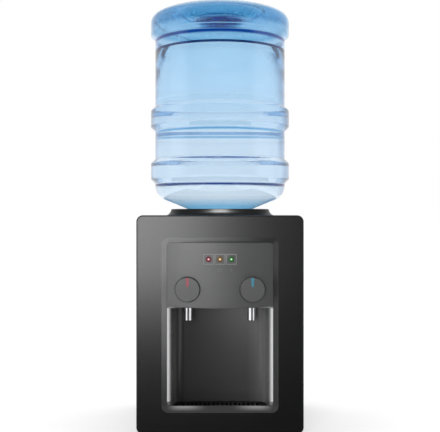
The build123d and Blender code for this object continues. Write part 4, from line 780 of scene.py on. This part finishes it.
def beads(name, spots):
    """Small balls given by their middles and radii, as one piece."""
    work = bmesh.new()
    for middle, radius in spots:
        at = Matrix.Translation(middle)
        bmesh.ops.create_icosphere(work, subdivisions=BALL_FINENESS, radius=radius, matrix=at)
    return finished(name, work, bpy.data.meshes.new(name))


def along(line, share):
    """The point at this share of a line's length, and the direction square to the line there."""
    left = share * sum((b - a).length for a, b in zip(line, line[1:]))
    for a, b in zip(line, line[1:]):
        step = b - a
        if left <= step.length:
            break
        left -= step.length
    step.normalize()
    return a + step * left, Vector((step.y, -step.x))


def turned(r, z, k):
    """A point at a radius and height, turned about the axis by its number."""
    turn = k * GOLDEN_ANGLE
    return r * math.cos(turn), r * math.sin(turn), z


def droplets():
    """Condensed drops on the dry inside of the bottle, round its base and down to the water."""
    dry = [p for p in inner if p.x > RIM_IN and p.y > WATER_LEVEL + DROP_R]
    spots = []
    for k in range(DROP_COUNT):
        size = DROP_R * (DROP_LEAST + (1 - DROP_LEAST) * (k * SIZE_STEP % 1))
        wall, inward = along(dry, k * PLACE_STEP % 1)
        spot = wall + inward * size * DROP_LIFT
        spots.append((turned(spot.x, spot.y, k), size))
    return beads("condensation", spots)


def base_dots():
    """Moulded dots under the push-up of the base, smaller toward its edge."""
    z = BOTTLE_TOP - PUSH_UP - BOTTLE_WALL
    spots = []
    for k in range(DOT_COUNT):
        share = math.sqrt(k / DOT_COUNT)
        size = DOT_R * (1 - share ** 2) * (DOT_SMALL + DOT_VARY * (k * SIZE_STEP % 1)) + DOT_LEAST
        spots.append((turned(DOT_REACH * share, z, k), size))
    return beads("base_dots", spots)


drops = place(droplets(), "bottle", water.data.materials[0])
dots = place(base_dots(), "bottle", dot_painted_shade())


# Strips on the sides of the niche's mouth, painted with a highlight

def trim_section():
    """The trim's outline seen from above: a face along the liner's rounding, which carries the painted
    highlight, and its back.
    """
    first, last = (math.radians(a) for a in FLARE_TURN)
    turns = [first + (last - first) * k / TRIM_STEPS for k in range(TRIM_STEPS + 1)]
    sides = []
    for radius in (FLARE_R + TRIM_PROUD, FLARE_R + TRIM_GAP):
        sides.append([(FLARE_AT[0] - radius * math.sin(a), FLARE_AT[1] - radius * math.cos(a))
                      for a in turns])
    face, back = sides
    return face + back[::-1]


def trim(name, side):
    """One upright strip of trim, on the left with side -1 or on the right with side 1."""
    section = [(side * x, y) for x, y in trim_section()]
    count = len(section)
    low, high = range(count), range(count, 2 * count)
    verts = [(x, y, z) for z in (TRIM_LOW, TRIM_TOP) for x, y in section]
    faces = [tuple(low), tuple(high[::-1])] + strip(low, high)
    piece = mesh_object(name, verts, faces)
    piece.data.set_sharp_from_angle(angle=SHARP_ANGLE)
    place(piece, "casing", trim_painted_highlight(name))


trim("niche_trim_left", -1)
trim("niche_trim_right", 1)


# Film of painted light and shade on the bevel round the opening

def bevel_ring(outline, y):
    """Points of a rounded rectangle in the plane at y."""
    half, low, top, corner = outline
    ring = []
    for k, (cx, cz) in enumerate(((1, 1), (-1, 1), (-1, -1), (1, -1))):
        x = cx * (half - corner)
        z = top - corner if cz > 0 else low + corner
        for step in range(CORNER_STEPS + 1):
            a = math.pi / 2 * (k + step / CORNER_STEPS)
            ring.append((x + corner * math.cos(a), y, z + corner * math.sin(a)))
    return ring


def bevel():
    """A satin film on the slope of the lip, which carries the painted light and shade."""
    front = BEVEL_FRONT_Y
    back = BEVEL_FRONT_Y + BEVEL_DEPTH
    rings = [bevel_ring(BEVEL_OUT, front), bevel_ring(BEVEL_IN, back),
             bevel_ring(BEVEL_IN, back - BEVEL_SKIN), bevel_ring(BEVEL_OUT, front - BEVEL_SKIN)]
    count = len(rings[0])
    verts = [point for ring in rings for point in ring]
    numbers = [range(k * count, (k + 1) * count) for k in range(len(rings))]
    faces = []
    for low, high in zip(numbers, numbers[1:] + numbers[:1]):
        faces += strip(low, high)
    piece = mesh_object("opening_bevel", verts, faces)
    piece.data.set_sharp_from_angle(angle=SHARP_ANGLE)
    place(piece, "casing", bevel_painted_light())


bevel()


# Pictograms

def icon(name, lens_name, strokes):
    """Thin printed strokes under a lens, given as lists of (x, z) in units of the icon's radius."""
    low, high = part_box(lens_name)
    x = (low.x + high.x) / 2
    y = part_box("control_panel")[0].y
    curve = bpy.data.curves.new(name, "CURVE")
    curve.dimensions = "3D"
    curve.bevel_depth = ICON_LINE
    curve.bevel_resolution = STROKE_FINENESS
    curve.use_fill_caps = True
    for stroke in strokes:
        line = curve.splines.new("POLY")
        line.points.add(len(stroke) - 1)
        for point, (dx, dz) in zip(line.points, stroke):
            point.co = (x + dx * ICON_R, y, ICON_Z + dz * ICON_R, 1)
    place(add(name, curve), "casing", MATERIALS["frame_silver"])


def wave(offset):
    """One rising wave of warm air."""
    heights = [2 * k / WAVE_STEPS - 1 for k in range(WAVE_STEPS + 1)]
    return [(offset + WAVE_SWING * math.sin(math.pi * z), z) for z in heights]


def arc(start, end):
    """Part of the unit circle, between two angles in degrees."""
    angles = [math.radians(start + (end - start) * k / POWER_STEPS) for k in range(POWER_STEPS + 1)]
    return [(math.cos(a), math.sin(a)) for a in angles]


def arm(turn):
    """One stroke of a snowflake, through its middle."""
    x, z = math.cos(math.radians(turn)), math.sin(math.radians(turn))
    return [(-x, -z), (x, z)]


icon("icon_heat", "indicator_lens_red", [wave(offset) for offset in WAVE_PLACES])
icon("icon_power", "indicator_lens_amber", [arc(*POWER_ARC), POWER_BAR])
icon("icon_cool", "indicator_lens_green", [arm(turn) for turn in FLAKE_TURNS])


# Floor, cards, world, lamps and camera

def stage_sheet(name, corners, material, unseen=()):
    """A flat piece of the studio, left out of the kinds of ray that are named."""
    piece = mesh_object(name, corners, [(0, 1, 2, 3)], smooth=False)
    piece.data.materials.append(material)
    for kind in unseen:
        setattr(piece, "visible_" + kind, False)


def floor():
    """A pale floor, lifted to white where the camera, glass or gloss sees it."""
    half = FLOOR_HALF
    corners = [(-half, -half, 0), (half, -half, 0), (half, half, 0), (-half, half, 0)]
    s = Surface("floor").set(Roughness=FLOOR_ROUGH, Emission_Color=(*PLAIN_WHITE, 1))
    s.tones(s.noise(FLOOR_DRIFT), *FLOOR_TONES)
    seen = s.rays("Is Camera Ray", "Is Glossy Ray", "Is Transmission Ray")
    s.paint(s.maths("MULTIPLY", seen, FLOOR_LIFT), "Emission Strength")
    stage_sheet("floor", corners, s.material)


def front_flag():
    """A dark card on the table in front of the casing, as photographers use, seen only in reflections."""
    (far, wide), (close, narrow) = FLAG_FAR, FLAG_CLOSE
    corners = [(-wide, far, FLAG_HEIGHT), (wide, far, FLAG_HEIGHT), (narrow, close, FLAG_HEIGHT),
               (-narrow, close, FLAG_HEIGHT)]
    stage_sheet("front_flag", corners, plastic("flag", FLAG_TONE, FLAG_ROUGH),
                ("camera", "diffuse", "transmission", "shadow"))


def side_card(name, side, start, full, tone):
    """A blue-grey card beside the bottle, seen only through it, so that the bottle's edge is darker."""
    ends = [(side * CARD_REACH * math.sin(math.radians(a)), CARD_REACH * math.cos(math.radians(a)))
            for a in (start, CARD_END)]
    corners = [(*ends[0], CARD_LOW), (*ends[1], CARD_LOW), (*ends[1], CARD_TOP), (*ends[0], CARD_TOP)]
    s = Surface(name).set(Base_Color=(0, 0, 0, 1), Roughness=1.0, Emission_Strength=1.0)
    s.paint(s.mix(s.ramp(s.axis("Y"), 1, 0, full, ends[0][1]), PLAIN_WHITE, tone), "Emission Color")
    stage_sheet(name, corners, s.material, ("camera", "diffuse", "glossy", "shadow"))


def world():
    """White for the camera and through glass, and dark toward the viewer in reflections."""
    made = bpy.data.worlds.new("studio")
    made.use_nodes = True
    n = Nodes(made.node_tree, "Generated")
    background = n.tree.nodes["Background"]
    background.inputs["Color"].default_value = (*PLAIN_WHITE, 1)
    front = n.ramp(n.axis("Y"), WORLD_FRONT, 1, *WORLD_TURN)
    seen = n.rays("Is Camera Ray", "Is Transmission Ray")
    n.link(n.maths("MAXIMUM", front, seen), background.inputs["Strength"])
    bpy.context.scene.world = made


def linked(name, pieces, state):
    """A collection that includes pieces in a lamp's light or excludes them."""
    group = bpy.data.collections.new(name)
    for piece in pieces:
        group.objects.link(piece)
    for row in group.collection_objects:
        row.light_linking.link_state = state
    return group


def lamp(name, at, aim, size, power, glossy=True):
    """The light linking of a new area lamp that the camera and the glass don't see."""
    light = bpy.data.lights.new(name, "AREA")
    light.shape = "RECTANGLE"
    light.size, light.size_y = size
    light.energy = power
    made = add(name, light)
    made.location = at
    made.rotation_euler = (Vector(aim) - Vector(at)).to_track_quat("-Z", "Y").to_euler()
    made.visible_camera = False
    made.visible_transmission = False
    made.visible_glossy = glossy
    return made.light_linking


floor()
front_flag()
side_card("card_left", -1, *CARD_LEFT)
side_card("card_right", 1, *CARD_RIGHT)
world()

bottle_pieces = (bottle, water, water_line_shade, drops, dots)
nozzles = (frame["nodes"]["hot_nozzle"], frame["nodes"]["cold_nozzle"])
key = lamp("key", KEY_AT, KEY_AIM, KEY_SIZE, KEY_POWER)
key.receiver_collection = linked("key_without", bottle_pieces + nozzles, "EXCLUDE")
lamp("fill", FILL_AT, FILL_AIM, FILL_SIZE, FILL_POWER, glossy=False)
collar = lamp("collar", COLLAR_LAMP_AT, COLLAR_LAMP_AIM, COLLAR_LAMP_SIZE, COLLAR_LAMP_POWER)
collar.receiver_collection = linked("collar_only", (frame["nodes"]["bottle_collar"],), "INCLUDE")
collar.blocker_collection = linked("collar_through", bottle_pieces, "EXCLUDE")

camera = add("camera", bpy.data.cameras.new("camera"))
camera.data.lens = FOCAL_LENGTH
camera.data.sensor_width = SENSOR
camera.location = CAMERA_AT
camera.rotation_euler = (math.pi / 2, 0, 0)
bpy.context.scene.camera = camera
bpy.context.scene.view_settings.view_transform = "Standard"
bpy.context.scene.cycles.max_bounces = LIGHT_BOUNCES
bpy.context.scene.cycles.transmission_bounces = LIGHT_BOUNCES
bpy.context.scene.cycles.glossy_bounces = LIGHT_BOUNCES
